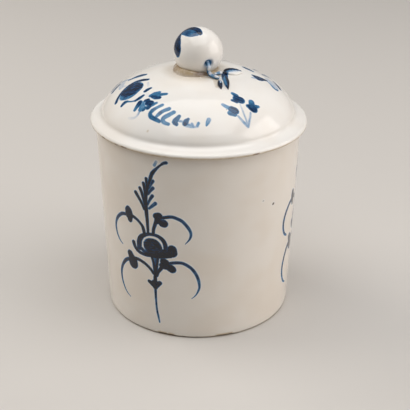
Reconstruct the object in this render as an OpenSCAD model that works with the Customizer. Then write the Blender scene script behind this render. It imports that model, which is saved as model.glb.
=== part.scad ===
// Covered ointment pot of glazed soft-paste porcelain. A tapered cylinder stands on a ring
// foot. Its domed lid drops into the mouth by a locating flange, and carries a fruit knob
// with a stalk, a side twig and three leaves, each its own piece of clay luted on.
// Millimetres. Z is up, the foot stands on z = 0, and -Y is the front.

/* [Pot] */
// Height of the pot, from the table to the lip that the lid sits on
pot_h = 61.5; // [50:0.5:80]
// Outer diameter at the foot
foot_d = 58; // [54:0.5:60]
// Outer diameter at the lip
lip_d = 62.6; // [61:0.1:68]
// Thickness of the wall
wall_t = 2.8; // [2.2:0.1:4]
// Thickness of the floor
floor_t = 3.6; // [2.5:0.1:6]
// Radius inside, where the wall meets the floor
inner_corner_r = 4; // [1:0.5:8]
// Radius of the outer edge of the foot
foot_edge_r = 1; // [0.4:0.1:1.6]
// Width of the ground ring that the pot stands on
foot_ring_w = 2.2; // [1.5:0.1:4]
// Depth of the hollow inside the foot ring
foot_recess = 0.8; // [0.3:0.1:1.5]
// Rounding of the lip, inside and outside
lip_round = 0.7; // [0.3:0.1:1]

/* [Lid] */
// How far the brim stands out past the lip
brim_overhang = 1.7; // [0.8:0.1:3]
// Thickness of the brim
brim_t = 1.5; // [1:0.1:2.5]
// Width of the brim, from its edge to the springing of the dome
brim_w = 3.5; // [2.8:0.1:5]
// Radius of the hollow where the dome springs from the brim
crease_r = 1.5; // [0.5:0.1:2]
// Rise of the dome's crown above the brim
dome_rise = 14.4; // [10:0.1:20]
// Fullness of the dome's shoulder, where 2 is an ellipse
dome_shoulder = 2.1; // [1.8:0.05:2.6]
// Fullness of the dome's crown, where 2 is an ellipse
dome_crown = 1.55; // [1.4:0.05:2]
// Thickness of the dome at the crown
dome_t = 2.6; // [2:0.1:4]
// Depth of the locating flange below the lip
flange_h = 5; // [3:0.5:9]
// Thickness of the locating flange
flange_t = 2.2; // [1.6:0.1:3]
// Clearance between the flange and the mouth
flange_gap = 0.6; // [0.3:0.1:1.2]

/* [Knob] */
// Diameter of the fruit
knob_d = 14.8; // [12:0.2:18]
// Depth of the flat that seats the fruit on the crown
knob_flat = 1.7; // [1:0.1:2.2]
// Width of the bead of slip round the fruit's foot
bead_w = 2.4; // [1.8:0.1:3.2]
// Height of the bead of slip
bead_h = 1.2; // [0.6:0.1:1.6]
// Diameter of the dimple that the stalk grows from
dimple_d = 3; // [2.4:0.1:3.6]
// Angle of the dimple below the fruit's middle
dimple_drop = 14; // [8:1:16]

/* [Twig] */
// Bearing of the twig, to the right of the front
twig_bearing = 25; // [0:1:180]
// Diameter of the stalk
stalk_d = 1.2; // [0.9:0.1:1.5]
// Diameter of the side twig
side_twig_d = 1; // [0.8:0.1:1.2]
// Gap between luted pieces, which the glaze fills
lute_gap = 0.06; // [0.04:0.01:0.1]
// Reach of the stalk's tip beyond the bead of slip
stalk_reach = 4.7; // [4:0.1:6]
// Length of the upper leaf
upper_leaf_l = 6.6; // [5:0.2:8]
// Width of the upper leaf
upper_leaf_w = 4.6; // [3:0.2:5.4]
// Length of the long leaf
long_leaf_l = 7.6; // [6:0.2:9]
// Width of the long leaf
long_leaf_w = 1.8; // [1.2:0.1:2.4]
// Length of the short leaf
short_leaf_l = 4.4; // [3.6:0.2:6]
// Width of the short leaf
short_leaf_w = 1.5; // [1.2:0.1:2]
// Height of a leaf's cheeks above the dome
leaf_t = 1; // [0.6:0.1:1.6]
// Depth of the furrow along a leaf's midrib
vein_depth = 0.3; // [0.1:0.05:0.4]

/* [Hidden] */

$fn = 96;
DOME_STEP = 6;         // degrees between the points of the dome's curve
ARC_STEP = 12;         // degrees between the points of a rounding
GLAZE = "#ece7df";
COBALT = "#2b4a72";
STAINED_SLIP = "#b39a74";

foot_r = foot_d / 2;
lip_r = lip_d / 2;
mouth_r = lip_r - wall_t;
lid_r = lip_r + brim_overhang;
brim_top = pot_h + brim_t;
dome_r = lid_r - brim_w;
spring_z = brim_top + crease_r;
crown_z = brim_top + dome_rise;
flange_r = mouth_r - flange_gap;
hollow_r = flange_r - flange_t;

knob_r = knob_d / 2;
knob_foot_r = sqrt(pow(knob_r, 2) - pow(knob_r - knob_flat, 2));
knob_seat_r = knob_foot_r + bead_w;
knob_seat_z = dome_z(knob_seat_r);
knob_z = knob_seat_z + knob_r - knob_flat;
dimple_r = dimple_d / 2;

// The twig is laid out with its dimple at the front, then turned to its bearing as a whole.
// Bearings run from the front to the right, and a leaf's heading is the bearing it points along.
stalk_r = stalk_d / 2;
stalk_off = stalk_r + lute_gap;
side_r = side_twig_d / 2;
side_off = side_r + lute_gap;
TUBE_SIDES = 12;
SPAN_STEPS = 4;        // rings of a tube to each span of its way
// The stalk's way: on the fruit by bearing and drop below the dimple, over the bead by bearing
// and angle round its section, and on the dome by bearing and reach in half thicknesses.
KNOB_WAY = [[-1, 5], [-1, 12]];
BEAD_WAY = [[1, 45], [2, 30], [3, 15]];
DOME_WAY = [[4, 2], [8, 4]];
// The side twig's way on the dome, by bearing and distance from the bead in diameters.
SIDE_WAY = [[13, 0], [21, 0], [29, 0.2], [35, 0.7]];

LOWER_BEARING = 12;    // of the place where the long and short leaves lie side by side
LOWER_HEADING = -23;   // of the line that they lie along
LOWER_BEND = 7;        // turn of their midribs from foot to tip
UPPER_HEADING = 112;   // of the upper leaf's foot
UPPER_BEND = -36;      // turn of its midrib from foot to tip
LEAD_SHARE = 0.46;     // share of the long leaf that lies behind the short leaf's foot
LEAF_WIDEST = 0.45;    // share of a leaf's length from its foot to its widest place
LEAF_FULLNESS = 0.8;   // 1 gives a leaf's outline the curve of a sine, and less fills it out
LEAF_EDGE = 0.3;       // share of a leaf's height that its edge has
LEAF_STEPS = 22;
LEAF_CELLS = 10;       // across a leaf

leaf_gap = lute_gap + stalk_r; // from the end of a stalk to the foot of its leaf
leaf_clear = 2 * lute_gap;     // from the line between the lower leaves to each of them
leaf_tip_r = leaf_t / 5;       // half the width of a leaf's tip
lower_foot = plan_point(LOWER_BEARING, knob_seat_r + stalk_reach);
short_foot = lower_foot - plan_point(LOWER_HEADING + 90, short_leaf_w / 2 + leaf_clear);
long_foot = lower_foot + plan_point(LOWER_HEADING + 90, long_leaf_w / 2 + leaf_clear)
    - plan_point(LOWER_HEADING, LEAD_SHARE * long_leaf_l);
side_tip = side_way_point(SIDE_WAY[3]);
upper_foot = [side_tip[0], side_tip[1]] + plan_point(UPPER_HEADING, leaf_gap);

function plan_point(bearing, r) = [r * sin(bearing), -r * cos(bearing)];
function unit(v) = v / norm(v);
function reverse(list) = [for (i = [len(list) - 1:-1:0]) list[i]];

// Height of the dome's outside at radius r. The dome is a curve of the ellipse's family, with
// its own fullness at the shoulder and at the crown.
function dome_z(r) =
    let (run = 1 - pow(min(r / dome_r, 1), dome_shoulder))
    spring_z + (crown_z - spring_z) * pow(run, 1 / dome_crown);

// Points of such a curve, from its springing at the given radius up to polar angle end.
function dome_curve(radius, height, end) =
    let (steps = ceil(end / DOME_STEP))
    [for (i = [0:steps])
        let (a = end * i / steps)
        [radius * pow(cos(a), 2 / dome_shoulder), spring_z + height * pow(sin(a), 2 / dome_crown)]];

// Points of an arc from angle a0 to a1, ends included.
function arc(centre, radius, a0, a1) =
    let (steps = ceil(abs(a1 - a0) / ARC_STEP))
    [for (i = [0:steps])
        let (a = a0 + (a1 - a0) * i / steps)
        centre + radius * [cos(a), sin(a)]];

// The point of the dome's skin over a plan point, raised by h.
function on_dome(p, h) = [p[0], p[1], dome_z(norm(p)) + h];

// A point h outside the fruit's skin, by its bearing and its elevation from the fruit's centre.
function off_knob(bearing, elevation, h) =
    let (p = plan_point(bearing, (knob_r + h) * cos(elevation)))
    [p[0], p[1], knob_z + (knob_r + h) * sin(elevation)];

// A point of the side twig's centre line over the dome.
function side_way_point(step) =
    on_dome(plan_point(step[0], knob_seat_r + side_off + step[1] * side_twig_d), side_off);

// A point h outside the bead of slip, at angle a of its quarter-round section, but never nearer
// than h to the fruit or to the dome.
function off_bead(bearing, a, h) =
    let (
        normal = unit([cos(a) / bead_w, sin(a) / bead_h]),
        section = [knob_foot_r + bead_w * cos(a), knob_seat_z + bead_h * sin(a)] + h * normal,
        p = plan_point(bearing, section[0]),
        centre = [0, 0, knob_z],
        away = [p[0], p[1], max(section[1], dome_z(section[0]) + h)] - centre)
    centre + unit(away) * max(norm(away), knob_r + h);

// The smooth curve through all the points.
function spline(p) =
    let (last = len(p) - 1)
    concat(
        [for (i = [0:last - 1], k = [0:SPAN_STEPS - 1])
            smooth(p[max(i - 1, 0)], p[i], p[i + 1], p[min(i + 2, last)], k / SPAN_STEPS)],
        [p[last]]);

// Catmull and Rom's cubic between b and c.
function smooth(a, b, c, d, t) =
    (2 * b + (c - a) * t + (2 * a - 5 * b + 4 * c - d) * pow(t, 2)
        + (3 * b - a - 3 * c + d) * pow(t, 3)) / 2;

// The pot's section: hollowed foot, wall, lip, inner wall and floor.
function pot_section() =
    let (
        taper = (lip_r - foot_r) / pot_h,
        floor_r = foot_r - wall_t + taper * (floor_t + inner_corner_r),
        ring_r = foot_r - foot_edge_r - foot_ring_w)
    concat(
        [[0, foot_recess], [ring_r - foot_recess, foot_recess], [ring_r, 0]],
        arc([foot_r - foot_edge_r, foot_edge_r], foot_edge_r, -90, 0),
        arc([lip_r - lip_round, pot_h - lip_round], lip_round, 0, 90),
        arc([mouth_r + lip_round, pot_h - lip_round], lip_round, 90, 180),
        arc([floor_r - inner_corner_r, floor_t + inner_corner_r], inner_corner_r, 0, -90),
        [[0, floor_t]]);

// The lid's section: knob seat, dome, brim, seating face, locating flange and hollow.
function lid_section() =
    let (
        seat_angle = acos(pow(knob_seat_r / dome_r, dome_shoulder / 2)),
        crease = arc([dome_r + crease_r, spring_z], crease_r, 180, 270),
        hollow_top = crown_z - dome_t,
        tip_r = flange_t / 2,
        hollow = dome_curve(hollow_r, hollow_top - spring_z, 90 - DOME_STEP))
    concat(
        [[0, knob_seat_z]],
        reverse(dome_curve(dome_r, crown_z - spring_z, seat_angle)),
        [for (i = [1:len(crease) - 1]) crease[i]],
        arc([lid_r - brim_t / 2, pot_h + brim_t / 2], brim_t / 2, 90, -90),
        [[flange_r, pot_h]],
        arc([flange_r - tip_r, pot_h - flange_h + tip_r], tip_r, 0, -180),
        hollow,
        [[0, hollow_top]]);

// Closes a row of point loops, all of the same even count, into one solid. Its two ends are
// capped by strips that run from one half of the loop to the other.
module skin(loops) {
    n = len(loops[0]);
    last = (len(loops) - 1) * n;
    points = [for (loop = loops, p = loop) p];
    sides = [for (i = [0:n:last - n], j = [0:n - 1], half = [0, 1])
        let (a = i + j, b = i + (j + 1) % n)
        half == 0 ? [a, b, b + n] : [a, b + n, a + n]];
    caps = [for (j = [0:n / 2 - 2], half = [0, 1])
        half == 0 ? [j, j + 1, n - 2 - j] : [j, n - 2 - j, n - 1 - j]];
    first = [for (f = caps) reverse(f)];
    end = [for (f = caps) f + [last, last, last]];
    polyhedron(points, concat(sides, first, end), convexity = 6);
}

// Sweeps a tube of radius r along a way that bends down and runs on to the right.
module tube(way, r) {
    last = len(way) - 1;
    aside = unit([0, -1, 1]);
    skin([for (i = [0:last])
        let (
            along = unit(way[min(i + 1, last)] - way[max(i - 1, 0)]),
            left = unit(cross(along, aside)),
            up = cross(left, along))
        [for (j = [0:TUBE_SIDES - 1])
            let (a = 360 * j / TUBE_SIDES)
            way[i] + r * (cos(a) * left + sin(a) * up)]]);
}

// A leaf that hugs the dome: two pillowed cheeks with a furrow along the midrib.
module leaf(foot, length, width, heading, bend) {
    step = length / LEAF_STEPS;
    turn = function(i) heading + bend * i / LEAF_STEPS;
    ribs = [for (i = 0, p = foot; i <= LEAF_STEPS; p = p + plan_point(turn(i), step), i = i + 1) p];
    loops = [for (i = [0:LEAF_STEPS])
        let (
            across = plan_point(turn(i) + 90, leaf_half_width(i / LEAF_STEPS, width / 2)),
            swell = leaf_swell(i / LEAF_STEPS),
            cells = [for (j = [0:LEAF_CELLS]) 2 * j / LEAF_CELLS - 1])
        concat(
            [for (u = cells) on_dome(ribs[i] + u * across, lute_gap)],
            [for (u = reverse(cells))
                on_dome(ribs[i] + u * across, lute_gap + swell * leaf_height(u))])];
    color(COBALT) skin(loops);
}

// Half the leaf's width at share s of its length: a quick swell from the foot, then a blunt
// point.
function leaf_half_width(s, half) =
    let (
        rise = sin(90 * min(s / LEAF_WIDEST, 1)),
        fall = cos(90 * max(s - LEAF_WIDEST, 0) / (1 - LEAF_WIDEST)))
    max(half * pow(rise * fall, LEAF_FULLNESS), leaf_tip_r);

// The leaf's height at share s of its length, as a share of its full height.
function leaf_swell(s) = LEAF_EDGE + (1 - LEAF_EDGE) * sqrt(sin(180 * s));

// The leaf's height across, from one edge at -1 to the other at 1.
function leaf_height(u) =
    leaf_t * (LEAF_EDGE + (1 - LEAF_EDGE) * sqrt(1 - pow(u, 2)))
        - vein_depth * max(1 - pow(u / LEAF_WIDEST, 2), 0);

module pot_body() {
    color(GLAZE) rotate_extrude() polygon(pot_section());
}

module lid() {
    color(GLAZE) rotate_extrude() polygon(lid_section());
}

// The fruit: a ball with a flat foot, and the dimple that the stalk grows from.
module knob() {
    color(GLAZE)
    difference() {
        translate([0, 0, knob_z]) sphere(knob_r);
        translate([0, 0, knob_seat_z - knob_d]) cylinder(h = knob_d, r = knob_d);
        rotate(twig_bearing) translate(off_knob(0, -dimple_drop, 0)) sphere(dimple_r);
    }
}

// The bead of slip that was pressed round the fruit's foot, now stained brown.
module slip_bead() {
    section = [for (a = [0:DOME_STEP:90])
        [knob_foot_r + bead_w * cos(a), knob_seat_z + bead_h * sin(a)]];
    inside_r = knob_foot_r / 2;
    color(STAINED_SLIP)
    difference() {
        rotate_extrude() polygon(concat(
            [[inside_r, knob_seat_z]], section, [[inside_r, knob_seat_z + bead_h]]));
        translate([0, 0, knob_z]) sphere(knob_r + lute_gap);
    }
}

// The stalk leaves the dimple, bends down over the bead of slip and runs along the dome to
// the short leaf.
module stalk() {
    root_depth = sqrt(pow(dimple_r, 2) - pow(stalk_off, 2)) - lute_gap;
    on_knob = [for (p = KNOB_WAY) off_knob(p[0], -dimple_drop - p[1], stalk_off)];
    on_bead = [for (p = BEAD_WAY) off_bead(p[0], p[1], stalk_off)];
    along_dome = [for (p = DOME_WAY)
        on_dome(plan_point(p[0], knob_seat_r + p[1] * stalk_off), stalk_off)];
    way = concat(
        [off_knob(0, -dimple_drop, -root_depth), off_knob(0, -dimple_drop, -root_depth / 3)],
        on_knob,
        on_bead,
        along_dome,
        [on_dome(short_foot - plan_point(LOWER_HEADING, leaf_gap), stalk_off)]);
    color(COBALT) rotate(twig_bearing) tube(spline(way), stalk_r);
}

// The side twig starts beside the stalk, follows the bead of slip and ends at the upper leaf.
module side_twig() {
    color(COBALT) rotate(twig_bearing) tube(spline([for (p = SIDE_WAY) side_way_point(p)]), side_r);
}

module upper_leaf() {
    rotate(twig_bearing) leaf(upper_foot, upper_leaf_l, upper_leaf_w, UPPER_HEADING, UPPER_BEND);
}

module long_leaf() {
    rotate(twig_bearing) leaf(long_foot, long_leaf_l, long_leaf_w, LOWER_HEADING, LOWER_BEND);
}

module short_leaf() {
    rotate(twig_bearing) leaf(short_foot, short_leaf_l, short_leaf_w, LOWER_HEADING, LOWER_BEND);
}

pot_body();
lid();
knob();
slip_bead();
stalk();
side_twig();
upper_leaf();
long_leaf();
short_leaf();
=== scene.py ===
"""Covered ointment pot: its glaze, brush painting and moulded twig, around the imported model.

Shapes are worked out in millimetres and go into their meshes in metres. A bearing is an angle
from the front (-Y) round to the right (+X). Sizes that a user would change are properties.
"""

import math
from collections.abc import Callable
from types import SimpleNamespace
from typing import NamedTuple

import bpy
import numpy as np
from bpy.props import FloatProperty, FloatVectorProperty, PointerProperty
from bpy.types import Operator, Panel, PropertyGroup
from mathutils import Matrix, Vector


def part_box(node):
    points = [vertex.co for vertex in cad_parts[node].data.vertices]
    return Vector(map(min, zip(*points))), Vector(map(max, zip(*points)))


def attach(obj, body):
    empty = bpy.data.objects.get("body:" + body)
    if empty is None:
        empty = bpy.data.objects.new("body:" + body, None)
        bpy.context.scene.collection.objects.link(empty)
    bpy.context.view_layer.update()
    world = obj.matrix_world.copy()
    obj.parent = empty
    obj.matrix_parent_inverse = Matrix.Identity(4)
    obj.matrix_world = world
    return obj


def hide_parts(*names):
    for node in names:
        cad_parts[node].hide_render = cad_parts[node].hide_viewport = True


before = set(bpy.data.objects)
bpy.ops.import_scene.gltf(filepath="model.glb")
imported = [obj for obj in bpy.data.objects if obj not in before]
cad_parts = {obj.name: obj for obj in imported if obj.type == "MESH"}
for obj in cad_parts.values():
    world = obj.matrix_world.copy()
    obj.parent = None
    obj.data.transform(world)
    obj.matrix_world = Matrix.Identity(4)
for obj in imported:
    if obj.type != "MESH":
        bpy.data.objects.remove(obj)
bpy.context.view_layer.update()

bl_info = {
    "name": "Covered ointment pot",
    "version": (1, 0, 0),
    "blender": (4, 5, 0),
    "location": "View3D > Sidebar > Pot",
    "description": "Builds the glazed and painted look of a covered ointment pot",
    "category": "Object",
}

MM = 0.001
TURN = 2 * math.pi
BOX = {name: np.array(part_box(name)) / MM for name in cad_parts}


def linear(hex_colour):
    """An sRGB hex colour as linear red, green and blue."""
    srgb = np.array([int(hex_colour[i : i + 2], 16) for i in (1, 3, 5)]) / 255
    return tuple(np.where(srgb <= 0.04045, srgb / 12.92, ((srgb + 0.055) / 1.055) ** 2.4))


def number(name, description, default, **kind):
    """A number that a user can change."""
    return FloatProperty(name=name, description=description, default=default, **kind)


def length(name, description, millimetres):
    """A length that is shown in the scene's unit and stored in metres."""
    kind = {"unit": "LENGTH", "subtype": "DISTANCE", "precision": 5}
    return number(name, description, float(millimetres) * MM, **kind)


def angle(name, description, degrees):
    """An angle, stored in radians."""
    return number(name, description, math.radians(degrees), unit="ROTATION", subtype="ANGLE")


def colour(name, description, hex_colour):
    """A colour, written in sRGB and stored linear."""
    return FloatVectorProperty(
        name=name,
        description=description,
        default=linear(hex_colour),
        min=0,
        max=1,
        subtype="COLOR",
    )


class PotSizes(PropertyGroup):
    pot_h: length("Height", "From the table to the lip", BOX["pot_body"][1, 2])
    lip_r: length("Lip radius", "Outer radius at the lip", BOX["pot_body"][1, 0])
    foot_r: length("Foot radius", "Outer radius at the foot", 29)
    wall_t: length("Wall", "Thickness of the wall", 2.8)
    floor_t: length("Floor", "Thickness of the floor", 3.6)
    inner_corner_r: length("Inner corner", "Radius where wall and floor meet inside", 4)
    foot_edge_r: length("Foot edge", "Radius of the foot's outer edge", 1)
    foot_ring_w: length("Foot ring", "Width of the ground ring", 2.2)
    foot_recess: length("Recess", "Depth of the hollow inside the ring", 0.8)
    lip_round: length("Lip round", "Rounding of the lip", 0.7)
    wobble: length("Wobble", "How far the thrown wall strays from round", 0.12)
    throwing: length("Throwing rings", "Height of the finger ridges inside", 0.05)


class LidSizes(PropertyGroup):
    lid_r: length("Radius", "Outer radius of the brim", BOX["lid"][1, 0])
    brim_t: length("Brim", "Thickness of the brim", 1.5)
    brim_w: length("Brim width", "From its edge to the dome's springing", 3.5)
    crease_r: length("Crease", "Radius where dome and brim meet", 1.5)
    dome_rise: length("Rise", "Rise of the crown above the brim", 14.4)
    dome_shoulder: number("Shoulder", "Fullness of the shoulder, where 2 is an ellipse", 2.1)
    dome_crown: number("Crown", "Fullness of the crown, where 2 is an ellipse", 1.55)
    dome_t: length("Dome", "Thickness at the crown", 2.6)
    flange_h: length("Flange", "Depth of the locating flange", 5)
    flange_t: length("Flange thickness", "Thickness of the locating flange", 2.2)
    flange_gap: length("Flange gap", "Clearance in the mouth", 0.6)
    sag: length("Sag", "How far the brim sank on its right in firing", 0.9)
    spread: length("Spread", "How far the brim grew on its right in firing", 0.45)
    swell: length("Swell", "How much fuller the fired dome is than its plain curve", 0.42)
    crease_fill: length("Crease fill", "Glaze that softens the crease", 0.42)


class KnobSizes(PropertyGroup):
    knob_r: length("Radius", "Radius of the fruit", BOX["knob"][1, 0])
    knob_flat: length("Flat", "Depth of the flat that seats the fruit", 1.7)
    bead_w: length("Bead width", "Width of the bead of slip", 2.4)
    bead_h: length("Bead height", "Height of the bead of slip", 1.2)
    dimple_r: length("Dimple", "Radius of the dimple", 1.5)
    dimple_drop: angle("Dimple drop", "Angle of the dimple below the middle", 14)


class TwigSizes(PropertyGroup):
    twig_bearing: angle("Bearing", "Bearing of the twig", 25)
    stalk_r: length("Stalk", "Radius of the stalk", 0.6)
    side_r: length("Side twig", "Radius of the side twig", 0.5)
    lute_gap: length("Lute gap", "Gap that the glaze fills", 0.06)
    stalk_reach: length("Reach", "Reach of the stalk beyond the bead", 4.7)
    upper_leaf_l: length("Upper leaf length", "Length of the upper leaf", 6.6)
    upper_leaf_w: length("Upper leaf width", "Width of the upper leaf", 4.6)
    long_leaf_l: length("Long leaf length", "Length of the long leaf", 7.6)
    long_leaf_w: length("Long leaf width", "Width of the long leaf", 1.8)
    short_leaf_l: length("Short leaf length", "Length of the short leaf", 4.4)
    short_leaf_w: length("Short leaf width", "Width of the short leaf", 1.5)
    leaf_t: length("Leaf height", "Height of the leaves' cheeks", 1)
    vein_depth: length("Vein", "Depth of the furrow along the midrib", 0.3)


class PaintSizes(PropertyGroup):
    dip: length("Dip", "How far a film's rim lies under the glaze", 0.012)
    settle: length("Settle", "How far a film's clear margin stands proud", 0.004)
    wash_lift: length("Wash", "How much prouder the palest wash stands", 0.004)
    ink_lift: length("Ink", "How much prouder a full brush stands", 0.03)
    margin: length("Margin", "Width of the faint halo round a stroke", 0.4)
    bleed: length("Bleed", "Width over which a stroke's edge fades", 0.38)


class Finish(PropertyGroup):
    glaze: colour("Glaze", "Thin glaze over the white body", "#f2f0ec")
    warm_glaze: colour("Warm glaze", "Glaze where the body shows warmer", "#e6ddd1")
    pooled_glaze: colour("Pooled glaze", "Thick glaze in a hollow", "#d3d6cf")
    biscuit: colour("Biscuit", "Bare fired body", "#c0aa8c")
    speck: colour("Speck", "Iron speck in the body", "#4d3826")
    # The slip colours also serve as painted shade: under the brim, on its underside, at the fruit's
    # foot and along the bead's lower edge
    slip: colour("Slip", "Slip stained by iron", "#b79f76")
    dark_slip: colour("Dark slip", "Slip where the stain is strong", "#6b4a2c")
    pale_cobalt: colour("Pale cobalt", "Thin wash", "#a6bbd5")
    mid_cobalt: colour("Mid cobalt", "Watered brush", "#3f7da8")
    deep_cobalt: colour("Deep cobalt", "Full brush", "#0a3763")
    black_cobalt: colour("Black cobalt", "Where a full brush pooled", "#060f21")
    floor: colour("Floor", "Studio floor", "#cfccc8")


GROUPS = {
    "pot": PotSizes,
    "lid": LidSizes,
    "knob": KnobSizes,
    "twig": TwigSizes,
    "paint": PaintSizes,
}


def measures():
    """All lengths in millimetres, angles in radians, and what follows from them."""
    m = SimpleNamespace()
    for group in GROUPS:
        values = getattr(bpy.context.scene, f"pot_{group}")
        for prop in values.bl_rna.properties:
            if prop.type == "FLOAT":
                scale = MM if prop.unit == "LENGTH" else 1
                setattr(m, prop.identifier, getattr(values, prop.identifier) / scale)
    m.mouth_r = m.lip_r - m.wall_t
    m.brim_top = m.pot_h + m.brim_t
    m.dome_r = m.lid_r - m.brim_w
    m.spring_z = m.brim_top + m.crease_r
    m.crown_z = m.brim_top + m.dome_rise
    m.flange_r = m.mouth_r - m.flange_gap
    m.hollow_r = m.flange_r - m.flange_t
    m.hollow_top = m.crown_z - m.dome_t
    m.knob_foot_r = math.sqrt(m.knob_r**2 - (m.knob_r - m.knob_flat) ** 2)
    m.knob_seat_r = m.knob_foot_r + m.bead_w
    m.knob_seat_z = float(dome_z(m, m.knob_seat_r))
    m.knob_z = m.knob_seat_z + m.knob_r - m.knob_flat
    m.stalk_off = m.stalk_r + m.lute_gap
    m.side_off = m.side_r + m.lute_gap
    return m


# Small tools

def ease(x):
    """0 below 0, 1 above 1, and an S-curve between.

    So ease((edge - x) / width) fades from 1 to 0 over the width before an edge.
    """
    x = np.clip(x, 0, 1)
    return x * x * (3 - 2 * x)


def unit(v):
    """Vectors along the last axis, scaled to length 1."""
    return v / np.linalg.norm(v, axis=-1, keepdims=True)


def plan(bearing, r):
    """X and Y of places at a bearing and a distance from the axis."""
    return np.stack([r * np.sin(bearing), -r * np.cos(bearing)], -1)


def at(bearing, r, z):
    """Places at a bearing, a distance from the axis and a height."""
    bearing, r, z = np.broadcast_arrays(bearing, r, z)
    return np.concatenate([plan(bearing, r), z[..., None]], -1)


def polar(place):
    """The bearings of plan places, and how far they lie from the axis."""
    return np.arctan2(place[..., 0], -place[..., 1]), np.hypot(place[..., 0], place[..., 1])


def around(sides):
    """Even bearings all the way round."""
    return np.linspace(0, TURN, sides, endpoint=False)


def line(start, end, spacing):
    """Evenly spaced points from start to end, both included."""
    start, end = np.array(start, float), np.array(end, float)
    steps = max(int(np.ceil(np.linalg.norm(end - start) / spacing)), 1)
    return start + (end - start) * np.linspace(0, 1, steps + 1)[:, None]


def arc(centre, radius, start, end, steps):
    """Points of an arc between two angles in degrees, both included."""
    a = np.radians(np.linspace(start, end, steps + 1))
    return np.array(centre) + radius * np.stack([np.cos(a), np.sin(a)], -1)


def joined(*pieces):
    """The pieces of an outline one after another, with no point twice."""
    points = np.concatenate(pieces)
    step = np.linalg.norm(np.diff(points, axis=0), axis=1)
    return points[np.concatenate([[True], step > 1e-4])]


def bezier(t, start, pull, end):
    """A bend from start to end that leans towards pull, at shares t of its way."""
    return (1 - t) ** 2 * start + 2 * t * (1 - t) * pull + t**2 * end


def run_of(points):
    """How far along a line each of its points lies."""
    steps = np.linalg.norm(np.diff(points, axis=0), axis=1)
    return np.concatenate([[0], np.cumsum(steps)])


def respaced(points, spacing):
    """Points at an even spacing along a line of many points."""
    run = run_of(points)
    at = np.linspace(0, run[-1], max(int(np.ceil(run[-1] / spacing)), 2) + 1)
    return np.stack([np.interp(at, run, column) for column in points.T], -1)


def curve_through(points, steps):
    """Catmull and Rom's smooth curve through all the points, with some steps to a span."""
    p = np.array(points, float)
    spans = [np.concatenate([p[:1], p[:-2]]), p[:-1], p[1:], np.concatenate([p[2:], p[-1:]])]
    a, b, c, d = (x[:, None, :] for x in spans)
    t = (np.arange(steps) / steps)[None, :, None]
    curve = b + ((c - a) * t + (2 * a - 5 * b + 4 * c - d) * t**2) / 2
    curve = curve + (3 * b - a - 3 * c + d) * t**3 / 2
    return np.concatenate([curve.reshape(-1, p.shape[1]), p[-1:]])


def waver(x, seed):
    """A smooth wave of x, between about -1 and 1, that closes after a full turn."""
    draw = np.random.default_rng(seed)
    order = np.arange(2, 7)
    phase = draw.uniform(0, TURN, len(order))
    share = draw.uniform(0.4, 1, len(order)) / order
    share /= share.sum()
    return (np.cos(np.asarray(x)[..., None] * order + phase) * share).sum(-1)


def turn_between(a, b):
    """The angle from b to a, between minus and plus half a turn."""
    return (a - b + math.pi) % TURN - math.pi


# Meshes

def skin_faces(rows, sides, ring=False):
    """Faces of a skin of closed loops: fours between loops, and threes at the two poles.

    A ring has no poles, because its last loop meets its first.
    """
    i = np.arange(rows if ring else rows - 1)[:, None] * sides
    j = np.arange(sides)[None, :]
    k = (j + 1) % sides
    up = (i + sides) % (rows * sides)
    fours = np.stack([i + j, i + k, up + k, up + j], -1).reshape(-1, 4)
    if ring:
        return fours, np.zeros((0, 3), int)
    j, k = j[0], k[0]
    first, last = rows * sides, rows * sides + 1
    end = (rows - 1) * sides
    threes = np.concatenate(
        [
            np.stack([np.full(sides, first), k, j], -1),
            np.stack([np.full(sides, last), end + j, end + k], -1),
        ]
    )
    return fours, threes


def volume(points, fours, threes):
    """The volume that the faces close in, below 0 where they face inward."""
    triangles = np.concatenate([fours[:, [0, 1, 2]], fours[:, [0, 2, 3]], threes])
    a, b, c = (points[triangles[:, n]] for n in range(3))
    return (a * np.cross(b, c)).sum() / 6


def placed(name, data):
    """An object with this data, linked to the scene."""
    thing = bpy.data.objects.new(name, data)
    bpy.context.scene.collection.objects.link(thing)
    return thing


def make_piece(name, points, fours, threes, facts, material, normals=None):
    """A smooth mesh object with its place in its mesh, and facts as attributes of its points.

    The fact called brush has three numbers to a point. Poles take 0 where a fact leaves them out.
    """
    if volume(points, fours, threes) < 0:
        fours, threes = fours[:, ::-1], threes[:, ::-1]
    mesh = bpy.data.meshes.new(name)
    mesh.vertices.add(len(points))
    mesh.vertices.foreach_set("co", (points * MM).astype(np.float32).ravel())
    corners = np.concatenate([fours.ravel(), threes.ravel()]).astype(np.int32)
    starts = np.concatenate([np.arange(len(fours)) * 4, fours.size + np.arange(len(threes)) * 3])
    mesh.loops.add(len(corners))
    mesh.loops.foreach_set("vertex_index", corners)
    mesh.polygons.add(len(starts))
    mesh.polygons.foreach_set("loop_start", starts.astype(np.int32))
    mesh.update(calc_edges=True)
    for fact, values in facts.items():
        kind, slot = ("FLOAT_VECTOR", "vector") if fact == "brush" else ("FLOAT", "value")
        attribute = mesh.attributes.new(fact, kind, "POINT")
        flat = np.zeros(len(points) * (3 if fact == "brush" else 1), np.float32)
        flat[: values.size] = values.ravel()
        attribute.data.foreach_set(slot, flat)
    mesh.shade_smooth()
    if normals is not None:
        mesh.normals_split_custom_set_from_vertices(normals)
    if mesh.validate():
        raise RuntimeError(f"{name} has faces that Blender had to mend")
    mesh.materials.append(material)
    return placed(name, mesh)


def skin(rings, poles):
    """Points and faces of loops of points, closed by a pole at each end."""
    rows, sides, _ = rings.shape
    points = np.concatenate([rings.reshape(-1, 3), np.array(poles, float)])
    return points, *skin_faces(rows, sides)


COLUMNS = 360  # of a turned shape


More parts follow.
